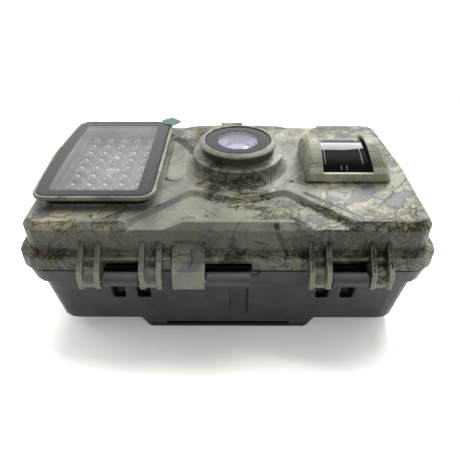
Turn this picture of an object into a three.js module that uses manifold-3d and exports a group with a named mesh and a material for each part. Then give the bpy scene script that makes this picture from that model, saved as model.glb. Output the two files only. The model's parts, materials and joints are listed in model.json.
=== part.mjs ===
// A trail camera lying on its back: a moulded rear case that holds eight AA cells, and a hinged
// front cover that carries the lens, the infrared lamp panel, the motion sensor and the electronics.
// Millimetres. +Z points out of the camera's front, +X towards the motion sensor (the camera's lower
// end in use) and +Y towards the latch. The origin is the middle of the back plate's resting face.
import * as THREE from "three";
import { mergeVertices } from "three/addons/utils/BufferGeometryUtils.js";
import Module from "manifold-3d";

const wasm = await Module();
wasm.setup();

// ---------- driving dimensions ----------
const GAP = 0.3; // clearance between pieces that rest on each other
const BOW = 1.3; // how far the two short ends bulge

const RIM = { x: 66.4, y: 40.9, r: 7.5, low: 25.6, top: 31.9, shrinkX: 0.984, shrinkY: 0.974 };
const HULL = { x: 64.2, y: 38.8, r: 7, low: 3.2, top: 28.2, chamfer: 1.4, shrinkX: 0.953, shrinkY: 0.912 };
const REAR_WALL = 2.4;
const SEAL = { bottom: 30.4, x: 65.5, y: 39.8, width: 1.6 }; // groove for the gasket in the rear case's rim
const FLANGE = { x: 67.2, y: 41.7, r: 8, low: 32.6, top: 37.4 };
const BODY = { x: 64.6, y: 39, r: 6.5, top: 48.4, chamfer: 2.2 };
const COVER_WALL = 2.8;
const CAVITY_TOP = 44.5;

const STRAP = { x: 32, y: 36.6, r: 3, slotX: 22.5, slotLow: 1.6, bridge: 11.6, shrinkX: 0.94 };

const LENS_X = 3.6;
// The flared foot under the lens ring: radii with their heights above the cover's face.
const PEDESTAL = {
  flare: [[20.4, 0.05], [18.2, 0.5], [16.8, 1.4], [16, 2.8]], high: 15.8, top: 52.8, bore: 12.4,
};
const RING = {
  flange: 16.2, shoulder: 13, groove: 12.8, lip: 13.9, seat: 11, bore: 11.9,
  low: 53.1, flangeTop: 54, shoulderTop: 54.4, lipLow: 57.4, lipTop: 58.1, rebate: 57.2, top: 58.8,
};
const WAIST = { radius: 24.2, depth: 1.8, slope: 1.7, edge: 37, peakX: 15, peakY: 19.4, footX: 33.6 };
const RAMP = { inner: 26.5, half: 13.2, spreadLow: 8.6, spreadTop: 4 }; // raised middle of the waist
const BADGE = { x: -19, y: 5, halfX: 3.1, halfY: 17.4, rise: 0.5 };
const MIC = { x: 22.3, y: -12.2, hole: 0.6, r: 3 };

const LAMP = {
  x0: -62.5, x1: -22.9, y: 30.6, r: 5, bow: 1.7, neck: 2.8, rim: 1.1,
  low: 50.6, rimLow: 51.4, seat: 51.9, top: 53,
};
const LAMP_OPENING = { x0: -58.2, x1: -26.2, y: 26.4 };
const LED = {
  columns: 5, rows: 8, x: -54.4, y: 0.7, pitchX: 5.65, pitchY: 6.13,
  r: 2.3, bottom: 44.7, low: 45.9, top: 48.8,
};

// The sensor hood; taper is how much shorter it is at its apex, all at its +X end.
const PIR = { x0: 27.4, x1: 57.2, y: 13.4, eaves: 51.9, apex: 59.1, wall: 1.5, chamfer: 1.3, taper: 0.12 };
const PIR_WINDOW = { x0: 33.2, x1: 51.4 };

const PIN = { y: -45, z: 31.9, r: 1, bore: 1.3, barrel: 2.3, end: 12.9 };
const HINGES = [-33.2, 38.3]; // middles of the two outer hinges
const EAR = { pitch: [-13, -7.7, 6, 11.3], thick: 1.6 };
const BARREL = { left: -5.6, right: 5.7 }; // ends of an outer hinge's rear barrel, from its middle
const POCKET = { spans: [[-8, -2], [0.5, 6.6]], low: 15.6, high: 22.6, draft: 2.4, back: -34.4 };
const CHANNEL = { x: 3.8, half: 3.1, round: 8.2, high: 21, back: -34.9 };
const CENTRE_BLOCK = { x0: -17, x1: -7 };
const CENTRE_BARREL = { x0: -6.7, x1: 7.3 };

const LATCH = { x0: -3.4, x1: 6.3, y: 43.8, z: 43.3, r: 3.3, low: 24.6, pin: 1, bore: 1.25 };
const LATCH_EAR = { gap: 0.4, width: 2.2, r: 2.2, low: 2, high: 1.2 }; // the cover's lugs beside the lever

const TRIPOD = { x0: 58.2, x1: 64.7, z: 17, boss: 7.2, r: 4.1, bore: 3.1 };

const CELL = { r: 7.1, body: 49.2, nub: 1.1, pitch: 15.4, z: 14.9 };
const TRAY = { x: 57.4, y: 31.6, low: 5.9, floor: 7.2, wall: 1.2, top: 20 };
const SPRING = { length: 3.1, wire: 0.45 };

const PANEL = { low: 33, top: 34.6, end: 48, far: 61.4 }; // inner cover behind the electronics
const BOARD = { low: 38.4, top: 39.8, x0: -54, x1: 46.5, y: 32, notch: 4.5 };
const CHIPS = [[-20, -14, 14, 14], [-20, 14, 9, 12], [24, 20, 6, 6]]; // middle x, middle y, length, width
const CHIP_HEIGHT = 1.1;
const IMAGE_SENSOR = { x: 4.6, y: 4.3, height: 1 };
const TACT = { half: 2.6, height: 0.8 };
const CARD = { x0: 34, x1: 48.6, y: 5.5, low: 40.8, top: 41.5 };
const CARD_SOCKET = { x0: 32, x1: 46.3, y: 7, top: 42.3, play: 0.4 };
const USB = { x0: 38.6, x1: 46.3, y0: 12, y1: 20, top: 42.8, wall: 0.7 };
const FILTER = { back: 10.8, front: 3.4, y: 5.7, low: 41.7, top: 42.6, play: 0.3 };
const SCREWS = [[-56, -30], [-56, 30], [43.5, -31], [43.5, 31]];
const KEYS = {
  key_up: [26, 11], key_down: [26, -11], key_left: [15, 0], key_right: [37, 0],
  key_ok: [26, 0], key_menu: [15, -20],
};
const KEY_R = 3.2;
const SWITCH = { x: 14, y: 23 };
const DISPLAY = { x0: -48, x1: 2, y: 19 };

const lampMiddle = (LAMP.x0 + LAMP.x1) / 2;
const lampHalf = (LAMP.x1 - LAMP.x0) / 2;

// ---------- shapes into solids ----------
const merge = (geometry) => {
  const bare = geometry.clone();
  for (const name of Object.keys(bare.attributes)) if (name !== "position") bare.deleteAttribute(name);
  return mergeVertices(bare, 1e-4);
};

// A closed three.js geometry as a solid, with its faces turned outwards.
function solid(geometry) {
  const merged = merge(geometry);
  const build = (triVerts) =>
    new wasm.Manifold(new wasm.Mesh({
      numProp: 3,
      vertProperties: new Float32Array(merged.attributes.position.array),
      triVerts,
    }));
  const triangles = new Uint32Array(merged.index.array);
  const made = build(triangles);
  if (made.volume() > 0) return made;
  for (let i = 0; i < triangles.length; i += 3) {
    [triangles[i + 1], triangles[i + 2]] = [triangles[i + 2], triangles[i + 1]];
  }
  return build(triangles);
}

const join = (...parts) => parts.reduce((a, b) => a.add(b));
const cut = (body, ...tools) => tools.reduce((a, b) => a.subtract(b), body);

function box(x0, x1, y0, y1, z0, z1) {
  const geometry = new THREE.BoxGeometry(x1 - x0, y1 - y0, z1 - z0);
  return solid(geometry.translate((x0 + x1) / 2, (y0 + y1) / 2, (z0 + z1) / 2));
}

// A round bar along Z.
function post(x, y, z0, z1, r, sides = 24, topR = r) {
  const geometry = new THREE.CylinderGeometry(topR, r, z1 - z0, sides).rotateX(Math.PI / 2);
  return solid(geometry.translate(x, y, (z0 + z1) / 2));
}

// A round bar along X.
function rod(x0, x1, y, z, r, sides = 16) {
  const geometry = new THREE.CylinderGeometry(r, r, x1 - x0, sides).rotateZ(Math.PI / 2);
  return solid(geometry.translate((x0 + x1) / 2, y, z));
}

// A round bar along Y.
function barAlongY(x, z, y0, y1, r, sides = 16) {
  return solid(new THREE.CylinderGeometry(r, r, y1 - y0, sides).translate(x, (y0 + y1) / 2, z));
}

// A turned piece: profile points are [radius, height].
function turned(profile, x, y, sides = 32) {
  const points = profile.map(([r, z]) => new THREE.Vector2(r, z));
  return solid(new THREE.LatheGeometry(points, sides).rotateX(Math.PI / 2).translate(x, y, 0));
}

function polygon(points) {
  return new THREE.Shape(points.map(([x, y]) => new THREE.Vector2(x, y)));
}

// A side profile in (Y, Z) swept from x0 to x1; chamfer cuts the edges of both ends, reshape moves points.
function alongX(shape, x0, x1, { curveSegments = 4, chamfer = 0, reshape = (geometry) => geometry } = {}) {
  const geometry = new THREE.ExtrudeGeometry(shape, {
    depth: x1 - x0 - 2 * chamfer,
    bevelEnabled: chamfer > 0,
    bevelThickness: chamfer,
    bevelSize: chamfer,
    bevelOffset: -chamfer,
    bevelSegments: 1,
    curveSegments,
  });
  const turn = new THREE.Matrix4().makeBasis(
    new THREE.Vector3(0, 1, 0), new THREE.Vector3(0, 0, 1), new THREE.Vector3(1, 0, 0));
  return solid(reshape(geometry.applyMatrix4(turn).translate(x0 + chamfer, 0, 0)));
}

// A rounded plate outline; its short ends bulge by leftBow and rightBow.
function outline(x, y, r, leftBow = 0, middle = 0, rightBow = leftBow) {
  const shape = new THREE.Shape();
  shape.moveTo(middle - x + r, -y);
  shape.lineTo(middle + x - r, -y);
  shape.absarc(middle + x - r, -y + r, r, -Math.PI / 2, 0);
  if (rightBow) shape.quadraticCurveTo(middle + x + 2 * rightBow, 0, middle + x, y - r);
  else shape.lineTo(middle + x, y - r);
  shape.absarc(middle + x - r, y - r, r, 0, Math.PI / 2);
  shape.lineTo(middle - x + r, y);
  shape.absarc(middle - x + r, y - r, r, Math.PI / 2, Math.PI);
  if (leftBow) shape.quadraticCurveTo(middle - x - 2 * leftBow, 0, middle - x, -y + r);
  else shape.lineTo(middle - x, -y + r);
  shape.absarc(middle - x + r, -y + r, r, Math.PI, 1.5 * Math.PI);
  return shape;
}

// A plate from z0 to z1. chamfer cuts both of its rims; shrinkX and shrinkY taper its lower face.
function slab(shape, z0, z1, { chamfer = 0, shrinkX = 1, shrinkY = 1, curveSegments = 2 } = {}) {
  const geometry = new THREE.ExtrudeGeometry(shape, {
    depth: z1 - z0 - 2 * chamfer,
    bevelEnabled: chamfer > 0,
    bevelThickness: chamfer,
    bevelSize: chamfer,
    bevelOffset: -chamfer,
    bevelSegments: 1,
    curveSegments,
  });
  geometry.translate(0, 0, z0 + chamfer);
  const at = geometry.attributes.position;
  for (let i = 0; i < at.count; i++) {
    const share = (z1 - at.getZ(i)) / (z1 - z0);
    at.setX(i, at.getX(i) * (1 - share * (1 - shrinkX)));
    at.setY(i, at.getY(i) * (1 - share * (1 - shrinkY)));
  }
  return solid(geometry);
}

// ---------- rear case and what it holds ----------
const barrelSpans = [
  ...HINGES.map((x) => [x + BARREL.left, x + BARREL.right]),
  [CENTRE_BARREL.x0, CENTRE_BARREL.x1],
];

// Hinge barrels on brackets that lean out of the rim band.
function rearBarrel([x0, x1]) {
  const bracket = polygon([[-39.8, 31.3], [PIN.y + 0.6, 31.3], [PIN.y - 1.4, 30.2], [-39.4, 23.4]]);
  return join(rod(x0, x1, PIN.y, PIN.z, PIN.barrel), alongX(bracket, x0, x1));
}

// The strap frame on the back: two bridges that a strap passes under, joined by end rails.
function strapFrame() {
  const { x, y, r, slotX, slotLow, bridge, shrinkX } = STRAP;
  const frame = slab(outline(x, y, r), 0, HULL.low + 1, { shrinkX, shrinkY: 0.98 });
  const middle = box(-slotX, slotX, bridge - y, y - bridge, -1, HULL.low);
  const slot = box(-slotX, slotX, -y - 1, y + 1, slotLow, HULL.low + GAP);
  return { frame, middle, slot };
}

// A recess under a hinge barrel: its outer side wall and its floor slant inwards.
function pocket(hinge, [x0, x1]) {
  const { low, high, draft, back } = POCKET;
  const front = -RIM.y - 1;
  const [left, right] = hinge < 0 ? [draft, 0] : [0, draft];
  return wasm.Manifold.hull([low, high].flatMap((z) => [
    [hinge + x0, front, z],
    [hinge + x1, front, z],
    [hinge + x0 + left, back, z === low ? z + 1 : z],
    [hinge + x1 - right, back, z === low ? z + 1 : z],
  ]));
}

// The blocks inside the near wall that back the pockets and the channel.
function wallBacking() {
  const inner = POCKET.back + 1.2;
  const backs = HINGES.map((x) => box(x - 9, x + 7.8, -37, inner, POCKET.low - 1.2, POCKET.high + 1));
  const { x, half, round, high, back } = CHANNEL;
  return join(...backs, box(x - half - 1, x + half + 1, -36, back + 1.2, round, high + 1));
}

function rearCase() {
  const strap = strapFrame();
  const hull = slab(outline(HULL.x, HULL.y, HULL.r, BOW), HULL.low, HULL.top,
    { chamfer: HULL.chamfer, shrinkX: HULL.shrinkX, shrinkY: HULL.shrinkY });
  const band = slab(outline(RIM.x, RIM.y, RIM.r, BOW), RIM.low, RIM.top,
    { shrinkX: RIM.shrinkX, shrinkY: RIM.shrinkY });
  const hollow = slab(outline(HULL.x - REAR_WALL, HULL.y - REAR_WALL, HULL.r - 1, BOW),
    HULL.low + REAR_WALL, RIM.top + 1, { shrinkX: 0.949, shrinkY: 0.906 });
  const lining = slab(outline(HULL.x - REAR_WALL / 2, HULL.y - REAR_WALL / 2 - 0.4, HULL.r - 1, BOW),
    HULL.top - 0.2, RIM.top + 1);
  const groove = cut(
    slab(outline(SEAL.x, SEAL.y, RIM.r - 0.8, BOW), SEAL.bottom, RIM.top + 1),
    slab(outline(SEAL.x - SEAL.width, SEAL.y - SEAL.width, RIM.r - 2, BOW), SEAL.bottom - 1, RIM.top + 2));
  const pockets = HINGES.flatMap((x) => POCKET.spans.map((span) => pocket(x, span)));
  const { x, half, round, high, back } = CHANNEL;
  const channel = join(box(x - half, x + half, -RIM.y - 1, back, round, high),
    barAlongY(x, round, -RIM.y - 1, back, half));
  const catchRidge = box(LATCH.x0 + 1, LATCH.x1 - 1, RIM.y - 1, LATCH.y - 0.5, 27, 28.8);
  const outside = join(hull, band, ...barrelSpans.map(rearBarrel), catchRidge, strap.frame);
  const hollowed = cut(outside, strap.middle, hollow, lining);
  const shell = cut(join(hollowed, wallBacking()), groove, ...pockets, channel);
  const socket = rod(TRIPOD.x0, TRIPOD.x1, 0, TRIPOD.z, TRIPOD.boss, 24);
  return cut(join(cut(shell, strap.slot), socket),
    rod(-60, 60, PIN.y, PIN.z, PIN.bore, 12), rod(50, 70, 0, TRIPOD.z, TRIPOD.r + GAP, 20),
    box(CENTRE_BARREL.x1, CENTRE_BARREL.x1 + 3, -43, -39.9, 29.4, RIM.top + 1));
}

function gasket() {
  const { bottom, x, y, width } = SEAL;
  return cut(
    slab(outline(x - GAP, y - GAP, RIM.r - 1, BOW), bottom + GAP, FLANGE.low - 0.15),
    slab(outline(x - width + GAP, y - width + GAP, RIM.r - 1.8, BOW), bottom, FLANGE.low));
}

const rows = [-1.5, -0.5, 0.5, 1.5].map((i) => i * CELL.pitch);
const facing = (row) => (rows.indexOf(row) % 2 ? -1 : 1); // which way a row's plus ends point

function batteryTray() {
  const { x, y, low, floor, wall, top } = TRAY;
  const base = slab(outline(x, y, 4.5), low, floor);
  const ends = [-x, x - wall].map((at) => box(at, at + wall, -26, 26, floor - 0.2, top));
  const middle = box(-wall / 2, wall / 2, -y + 0.4, y - 0.4, floor - 0.2, top);
  const ribs = [-CELL.pitch, 0, CELL.pitch]
    .map((at) => box(-x + 2.6, x - 2.6, at - 0.3, at + 0.3, floor - 0.2, 11));
  const hole = post(0, 0, low - 1, 8.4, 6, 20);
  return cut(join(base, ...ends, middle, ...ribs), hole);
}

// One AA cell; its plus nub faces +X or -X.
function cell(column, row) {
  const way = facing(row);
  const minus = way > 0 ? (column ? 5.1 : -51.8) : (column ? 51.8 : -5.1);
  const profile = [[0, 0], [CELL.r, 0], [CELL.r, CELL.body], [2.7, CELL.body], [2.7, CELL.body + CELL.nub],
    [0, CELL.body + CELL.nub]];
  const points = profile.map(([r, h]) => new THREE.Vector2(r, h));
  const geometry = new THREE.LatheGeometry(points, 14).rotateZ(-way * Math.PI / 2);
  return solid(geometry.translate(minus, row, CELL.z));
}

class ConeSpiral extends THREE.Curve {
  constructor(way, turns = 2.25) {
    super();
    Object.assign(this, { way, turns });
  }
  getPoint(t, target = new THREE.Vector3()) {
    const angle = t * this.turns * 2 * Math.PI;
    const r = 4.6 - 2.4 * t;
    return target.set(this.way * t * SPRING.length, r * Math.cos(angle), r * Math.sin(angle));
  }
}

// A battery spring that stands on a contact plate and points along way.
function spring(x, row, way) {
  const wire = new THREE.Shape().absarc(0, 0, SPRING.wire, 0, 2 * Math.PI);
  const geometry = new THREE.ExtrudeGeometry(wire,
    { steps: 14, extrudePath: new ConeSpiral(way), curveSegments: 2, bevelEnabled: false });
  return solid(geometry.translate(x, row, CELL.z));
}

// A contact plate on an end wall, spanning the rows it joins, with a spring at each minus end.
function endContact(side, ...itsRows) {
  const inner = side * (TRAY.x - TRAY.wall);
  const [x0, x1] = side < 0 ? [inner + 0.1, inner + 0.6] : [inner - 0.6, inner - 0.1];
  const plate = box(x0, x1, Math.min(...itsRows) - 5.4, Math.max(...itsRows) + 5.4, 9.4, 19.6);
  const springs = itsRows.filter((row) => facing(row) === -side)
    .map((row) => spring(side * (Math.abs(inner) - 0.7), row, -side));
  return join(plate, ...springs);
}

// A contact folded over the middle wall: it joins the two cells of a row.
function bridgeContact(row) {
  const half = TRAY.wall / 2 + 0.1;
  const fold = [-1, 1].map((side) =>
    box(Math.min(side * half, side * (half + 0.5)), Math.max(side * half, side * (half + 0.5)),
      row - 5, row + 5, 9.4, TRAY.top + 0.6));
  const top = box(-half - 0.5, half + 0.5, row - 5, row + 5, TRAY.top + 0.1, TRAY.top + 0.6);
  return join(...fold, top, spring(facing(row) * (half + 0.6), row, facing(row)));
}

// Battery lead: a flat two-core cable from the tray up to the hinge side of the joint plane.
function batteryLead() {
  const path = new THREE.CatmullRomCurve3([
    new THREE.Vector3(50, -26, 23.6), new THREE.Vector3(30, -31.2, 25.4),
    new THREE.Vector3(13, -34, 27.4), new THREE.Vector3(8, -34.3, 31.8)]);
  const section = new THREE.Shape().absellipse(0, 0, 0.8, 0.8, 0, 2 * Math.PI);
  return solid(new THREE.ExtrudeGeometry(section,
    { steps: 14, extrudePath: path, curveSegments: 3, bevelEnabled: false }));
}

// The threaded insert in the lower end wall; its bore stands for a quarter-inch thread.
function tripodInsert() {
  const { x0, x1, z, r, bore } = TRIPOD;
  return cut(rod(x0 + 0.2, x1 - 0.3, 0, z, r, 20), rod(x0, x1, 0, z, bore, 20));
}

const hingePin = (x0, x1) => rod(x0, x1, PIN.y, PIN.z, PIN.r, 12);

// ---------- front cover shell ----------
// The side profile of a hinge ear: it leans out of the wall and hangs past the joint plane.
const earProfile = polygon([[-38.4, 43], [-46.7, 36.2], [-47.4, 34.6], [-47.4, 30], [-46.7, 29.2],
  [-44, 29.2], [-42.3, 31.2], [-42.3, 32.6], [-38.4, 32.6]]);

// The web between two ears: a low barrel round the pin, a little inside the ears' profile.
const webProfile = polygon([[-40.9, 34.6], [-43.4, 35], [-45.3, 34.2], [-46.5, 32.4], [-46.7, 30.2],
  [-46.2, 29.3], [-43.6, 29.3], [-42.3, 31.2], [-42.3, 32.6], [-40.9, 32.6]]);

function knuckle(middle, first, second) {
  const left = middle + EAR.pitch[first];
  const right = middle + EAR.pitch[second];
  const ears = [left, right].map((x) => alongX(earProfile, x, x + EAR.thick));
  return join(...ears, alongX(webProfile, left + 1, right + EAR.thick - 1));
}

// The recess at the waist: an arc about the lens, then slanting lines out to the edge, with a sloping side.
function waistShape(side) {
  const { radius, depth, slope, edge, peakX, peakY, footX } = WAIST;
  const spread = Math.asin((peakX - 2.4) / radius);
  const shape = new THREE.Shape();
  shape.moveTo(LENS_X - footX - 4, -edge - 8);
  shape.lineTo(LENS_X - footX, -edge);
  shape.lineTo(LENS_X - peakX - 1.8, -peakY - 1);
  shape.quadraticCurveTo(LENS_X - peakX, -peakY + 0.4,
    LENS_X - radius * Math.sin(spread), -radius * Math.cos(spread));
  shape.absarc(LENS_X, 0, radius, -Math.PI / 2 - spread, -Math.PI / 2 + spread);
  shape.quadraticCurveTo(LENS_X + peakX, -peakY + 0.4, LENS_X + peakX + 1.8, -peakY - 1);
  shape.lineTo(LENS_X + footX, -edge);
  shape.lineTo(LENS_X + footX + 4, -edge - 8);
  const geometry = new THREE.ExtrudeGeometry(shape, {
    depth,
    bevelThickness: depth + 0.01,
    bevelSize: slope,
    bevelSegments: 1,
    curveSegments: 5,
  });
  const made = solid(geometry.translate(0, 0, BODY.top));
  return side > 0 ? made.mirror([0, 1, 0]) : made;
}

// The raised middle of the recess: a wedge that climbs to the plateau's edge between two dips.
function waistRamp(side, body) {
  const { inner, half, spreadLow, spreadTop } = RAMP;
  const low = BODY.top - WAIST.depth;
  const reach = (41 - inner) / (BODY.y - BODY.chamfer - inner); // how far past the edge the wedge runs on
  const corners = [-1, 1].flatMap((end) => [
    [LENS_X + end * half, side * inner, low],
    [LENS_X + end * half, side * inner, low - 0.4],
    [LENS_X + end * (half + spreadLow * reach), side * 41, low],
    [LENS_X + end * (half + spreadLow * reach), side * 41, low - 0.4],
    [LENS_X + end * (half + spreadTop * reach), side * 41, low + WAIST.depth * reach],
  ]);
  return wasm.Manifold.hull(corners).intersect(body);
}

const latchEarSpans = [
  [LATCH.x0 - LATCH_EAR.gap - LATCH_EAR.width, LATCH.x0 - LATCH_EAR.gap],
  [LATCH.x1 + LATCH_EAR.gap, LATCH.x1 + LATCH_EAR.gap + LATCH_EAR.width],
];

// A lug on the far wall that holds one end of the latch pin.
function latchEar([x0, x1]) {
  const { r, low, high } = LATCH_EAR;
  return join(rod(x0, x1, LATCH.y, LATCH.z, r, 16),
    box(x0, x1, BODY.y - 1, LATCH.y, LATCH.z - low, LATCH.z + high));
}

function frontShell() {
  const body = slab(outline(BODY.x, BODY.y, BODY.r, BOW), 34, BODY.top, { chamfer: BODY.chamfer });
  const waisted = cut(body, waistShape(-1), waistShape(1));
  const flange = slab(outline(FLANGE.x, FLANGE.y, FLANGE.r, BOW), FLANGE.low, FLANGE.top);
  const lampFoot = slab(lampOutline(LAMP.neck, LAMP.r - 1.5), BODY.top - 1, LAMP.low - 0.1);
  const { flare, high, top } = PEDESTAL;
  const pedestal = turned([[0, BODY.top - 1], [flare[0][0], BODY.top - 1],
    ...flare.map(([r, rise]) => [r, BODY.top + rise]), [high, top], [0, top]], LENS_X, 0, 40);
  const badge = slab(outline(BADGE.halfX, BADGE.halfY, 3), BODY.top - 1, BODY.top + BADGE.rise)
    .translate([BADGE.x, BADGE.y, 0]);
  const knuckles = HINGES.flatMap((x) => [knuckle(x, 0, 1), knuckle(x, 2, 3)]);
  const block = alongX(earProfile, CENTRE_BLOCK.x0, CENTRE_BLOCK.x1);
  const latchEars = latchEarSpans.map(latchEar);

  const cavity = slab(outline(BODY.x - COVER_WALL, BODY.y - COVER_WALL, BODY.r - 2, BOW),
    FLANGE.low - 1, CAVITY_TOP);
  const reliefs = HINGES.map((x) => box(x - 6.1, x + 6, -43, -38.3, FLANGE.low - 1, FLANGE.top - 1));
  const centreRelief = box(CENTRE_BARREL.x0 - 0.3, CENTRE_BARREL.x1 + 0.4, -43, -38.6, FLANGE.low - 1,
    FLANGE.top - 2);
  const lampHole = box(LAMP_OPENING.x0, LAMP_OPENING.x1, -LAMP_OPENING.y, LAMP_OPENING.y, 40, 60);
  const lensHole = post(LENS_X, 0, 40, 60, PEDESTAL.bore, 32);
  const pirHole = box(PIR.x0 + 4, PIR.x1 - 4, -10.5, 10.5, 40, 60);
  const micHole = post(MIC.x, MIC.y, 40, 60, MIC.hole, 8);

  const bosses = SCREWS.map(([x, y]) => cut(post(x, y, PANEL.top + GAP, CAVITY_TOP + 0.5, 2.6, 12),
    post(x, y, 33, 42, 1.2, 10)));
  return cut(join(cut(join(waisted, waistRamp(-1, body), waistRamp(1, body), flange, lampFoot, pedestal,
    badge, ...knuckles, block, ...latchEars), cavity, ...reliefs, centreRelief), ...bosses),
  lampHole, lensHole, pirHole, micHole, rod(-60, 60, PIN.y, PIN.z, PIN.bore, 12),
  rod(latchEarSpans[0][0] - 1, latchEarSpans[1][1] + 1, LATCH.y, LATCH.z, LATCH.bore, 12));
}

// ---------- lamp panel ----------
// The lamp panel's outline, inset from the bezel's.
const lampOutline = (inset, r) => outline(lampHalf - inset, LAMP.y - inset, r, LAMP.bow, lampMiddle, 0);

// The bezel: a thin rim that overhangs its own neck, with a rebate for the window.
function ledBezel() {
  const { neck, rim, r, low, rimLow, seat, top } = LAMP;
  const { x0, x1, y } = LAMP_OPENING;
  return cut(join(slab(lampOutline(0, r), rimLow, top, { chamfer: 0.4 }),
    slab(lampOutline(neck, r - 1.5), low, rimLow + 0.5)),
  slab(lampOutline(rim, r - 1), seat, top + 1),
  box(x0 - GAP, x1 + GAP, -y - GAP, y + GAP, low - 1, top + 1));
}

const ledWindow = () => slab(lampOutline(LAMP.rim + GAP, LAMP.r - 1.3), LAMP.seat + 0.2, LAMP.top);

// The lamp board: a grid of infrared lamps, with a light sensor and a large lamp in the middle column.
function irLedBoard() {
  const { columns, rows: count, x: firstX, y: middleY, pitchX, pitchY, r, bottom, low, top } = LED;
  const { x0, x1, y } = LAMP_OPENING;
  const lamps = [];
  for (let i = 0; i < columns; i++) {
    for (let j = 0; j < count; j++) {
      const at = middleY + (j - (count - 1) / 2) * pitchY;
      lamps.push(post(firstX + i * pitchX, at, low - 0.2, top, r, 6, r * 0.6));
    }
  }
  return join(box(x0 + 0.4, x1 - 0.4, -y + 0.5, y - 0.5, bottom, low), ...lamps);
}

// The clear film that protects the lamp window in the box, with its green pull tab.
function protectiveFilm() {
  const film = slab(lampOutline(2.4, 2.5), LAMP.top + 0.05, LAMP.top + 0.2);
  const tab = slab(polygon([[-28.1, 31], [-27, 27], [-22.2, 25.5], [-19.4, 29.5], [-24, 34.3]]),
    LAMP.top + 0.05, LAMP.top + 0.25);
  return join(film, tab);
}

// ---------- lens ----------
function lensRing() {
  const { flange, shoulder, groove, lip, seat, bore } = RING;
  const { low, flangeTop, shoulderTop, lipLow, lipTop, rebate, top } = RING;
  return turned([[seat, low], [flange, low], [flange, flangeTop], [shoulder, shoulderTop], [groove, lipLow],
    [lip, lipLow + 0.1], [lip, lipTop], [bore + 0.5, top], [bore, top], [bore, rebate], [seat, rebate],
    [seat, low]], LENS_X, 0, 40);
}

const lensWindow = () => post(LENS_X, 0, RING.rebate + 0.2, RING.top - 0.3, RING.bore - 0.3, 32);

function lensBarrel() {
  return turned([[0, 43.4], [5.9, 43.4], [5.9, 50.4], [8.2, 51.4], [8.2, 53.2], [6.4, 53.2], [4.4, 51.6],
    [3.4, 52.4], [1.8, 52.9], [0, 53.1]], LENS_X, 0, 24);
}

// The holder straddles the image sensor; its slot guides the infrared-cut filter.
function lensHolder() {
  const block = join(box(LENS_X - 12, LENS_X + 12, -8.5, 8.5, BOARD.top + 0.1, 44.2),
    post(LENS_X, 0, 44, 49.4, 8, 20));
  const { back, y, low, top, play } = FILTER;
  const slot = box(LENS_X - back - play, LENS_X + back + play, -y - play, y + play, low - play, top + play);
  const bore = post(LENS_X, 0, 42.6, 50, 6.2, 20);
  const eye = box(LENS_X - 5.5, LENS_X + 5.5, -5.5, 5.5, BOARD.top, 41.6);
  return cut(block, slot, bore, eye);
}

const irCutFilter = () =>
  box(LENS_X - FILTER.back, LENS_X + FILTER.front, -FILTER.y, FILTER.y, FILTER.low, FILTER.top);

// ---------- motion sensor ----------
// A section with upright sides up to the eaves and an arc over the top, inset from the housing by inset.
function arch(inset, low) {
  const y = PIR.y - inset;
  const rise = PIR.apex - PIR.eaves - inset * 0.9;
  const radius = (y * y + rise * rise) / (2 * rise);
  const centre = PIR.eaves + rise - radius;
  const half = Math.asin(y / radius);
  const shape = new THREE.Shape();
  shape.moveTo(-y, low);
  shape.lineTo(y, low);
  shape.lineTo(y, PIR.eaves);
  shape.absarc(0, centre, radius, Math.PI / 2 - half, Math.PI / 2 + half);
  shape.lineTo(-y, low);
  return shape;
}

// Draws the points of a hood piece towards its -X end, more so the higher they are.
function leanHood(geometry) {
  const at = geometry.attributes.position;
  for (let i = 0; i < at.count; i++) {
    const share = (at.getZ(i) - BODY.top) / (PIR.apex - BODY.top);
    at.setX(i, PIR.x0 + (at.getX(i) - PIR.x0) * (1 - PIR.taper * share));
  }
  return geometry;
}

// The window's opening cuts the arch down to the eaves, which leaves two bands joined by low bars.
function pirBezel() {
  const { x0, x1, y, eaves, apex, wall, chamfer } = PIR;
  const base = BODY.top + 0.1;
  const foot = box(x0 - 1, x1 + 1, -y - 1, y + 1, base - 6, base);
  const opening = new THREE.BoxGeometry(PIR_WINDOW.x1 - PIR_WINDOW.x0, 2 * y + 2, apex + 1 - eaves)
    .translate((PIR_WINDOW.x0 + PIR_WINDOW.x1) / 2, 0, (eaves + apex + 1) / 2);
  return cut(alongX(arch(0, base - 2), x0, x1, { curveSegments: 8, chamfer, reshape: leanHood }), foot,
    alongX(arch(wall, base - 3), x0 + 1.8, x1 - 1.8, { curveSegments: 8, reshape: leanHood }),
    solid(leanHood(opening)));
}

function pirLens() {
  const base = BODY.top + 0.4;
  const shape = { curveSegments: 8, reshape: leanHood };
  return cut(alongX(arch(PIR.wall + 0.3, base), PIR.x0 + 2.1, PIR.x1 - 2.1, shape),
    alongX(arch(PIR.wall + 1.2, base - 1), PIR.x0 + 1, PIR.x1 - 1, shape));
}

function pirSensor() {
  const x = (PIR.x0 + PIR.x1) / 2;
  return cut(join(box(x - 8, x + 8, -8, 8, 45, 46.2), post(x, 0, 46, 50.2, 4.6, 20)),
    box(x - 2, x + 2, -1.6, 1.6, 49.8, 51));
}

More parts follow.
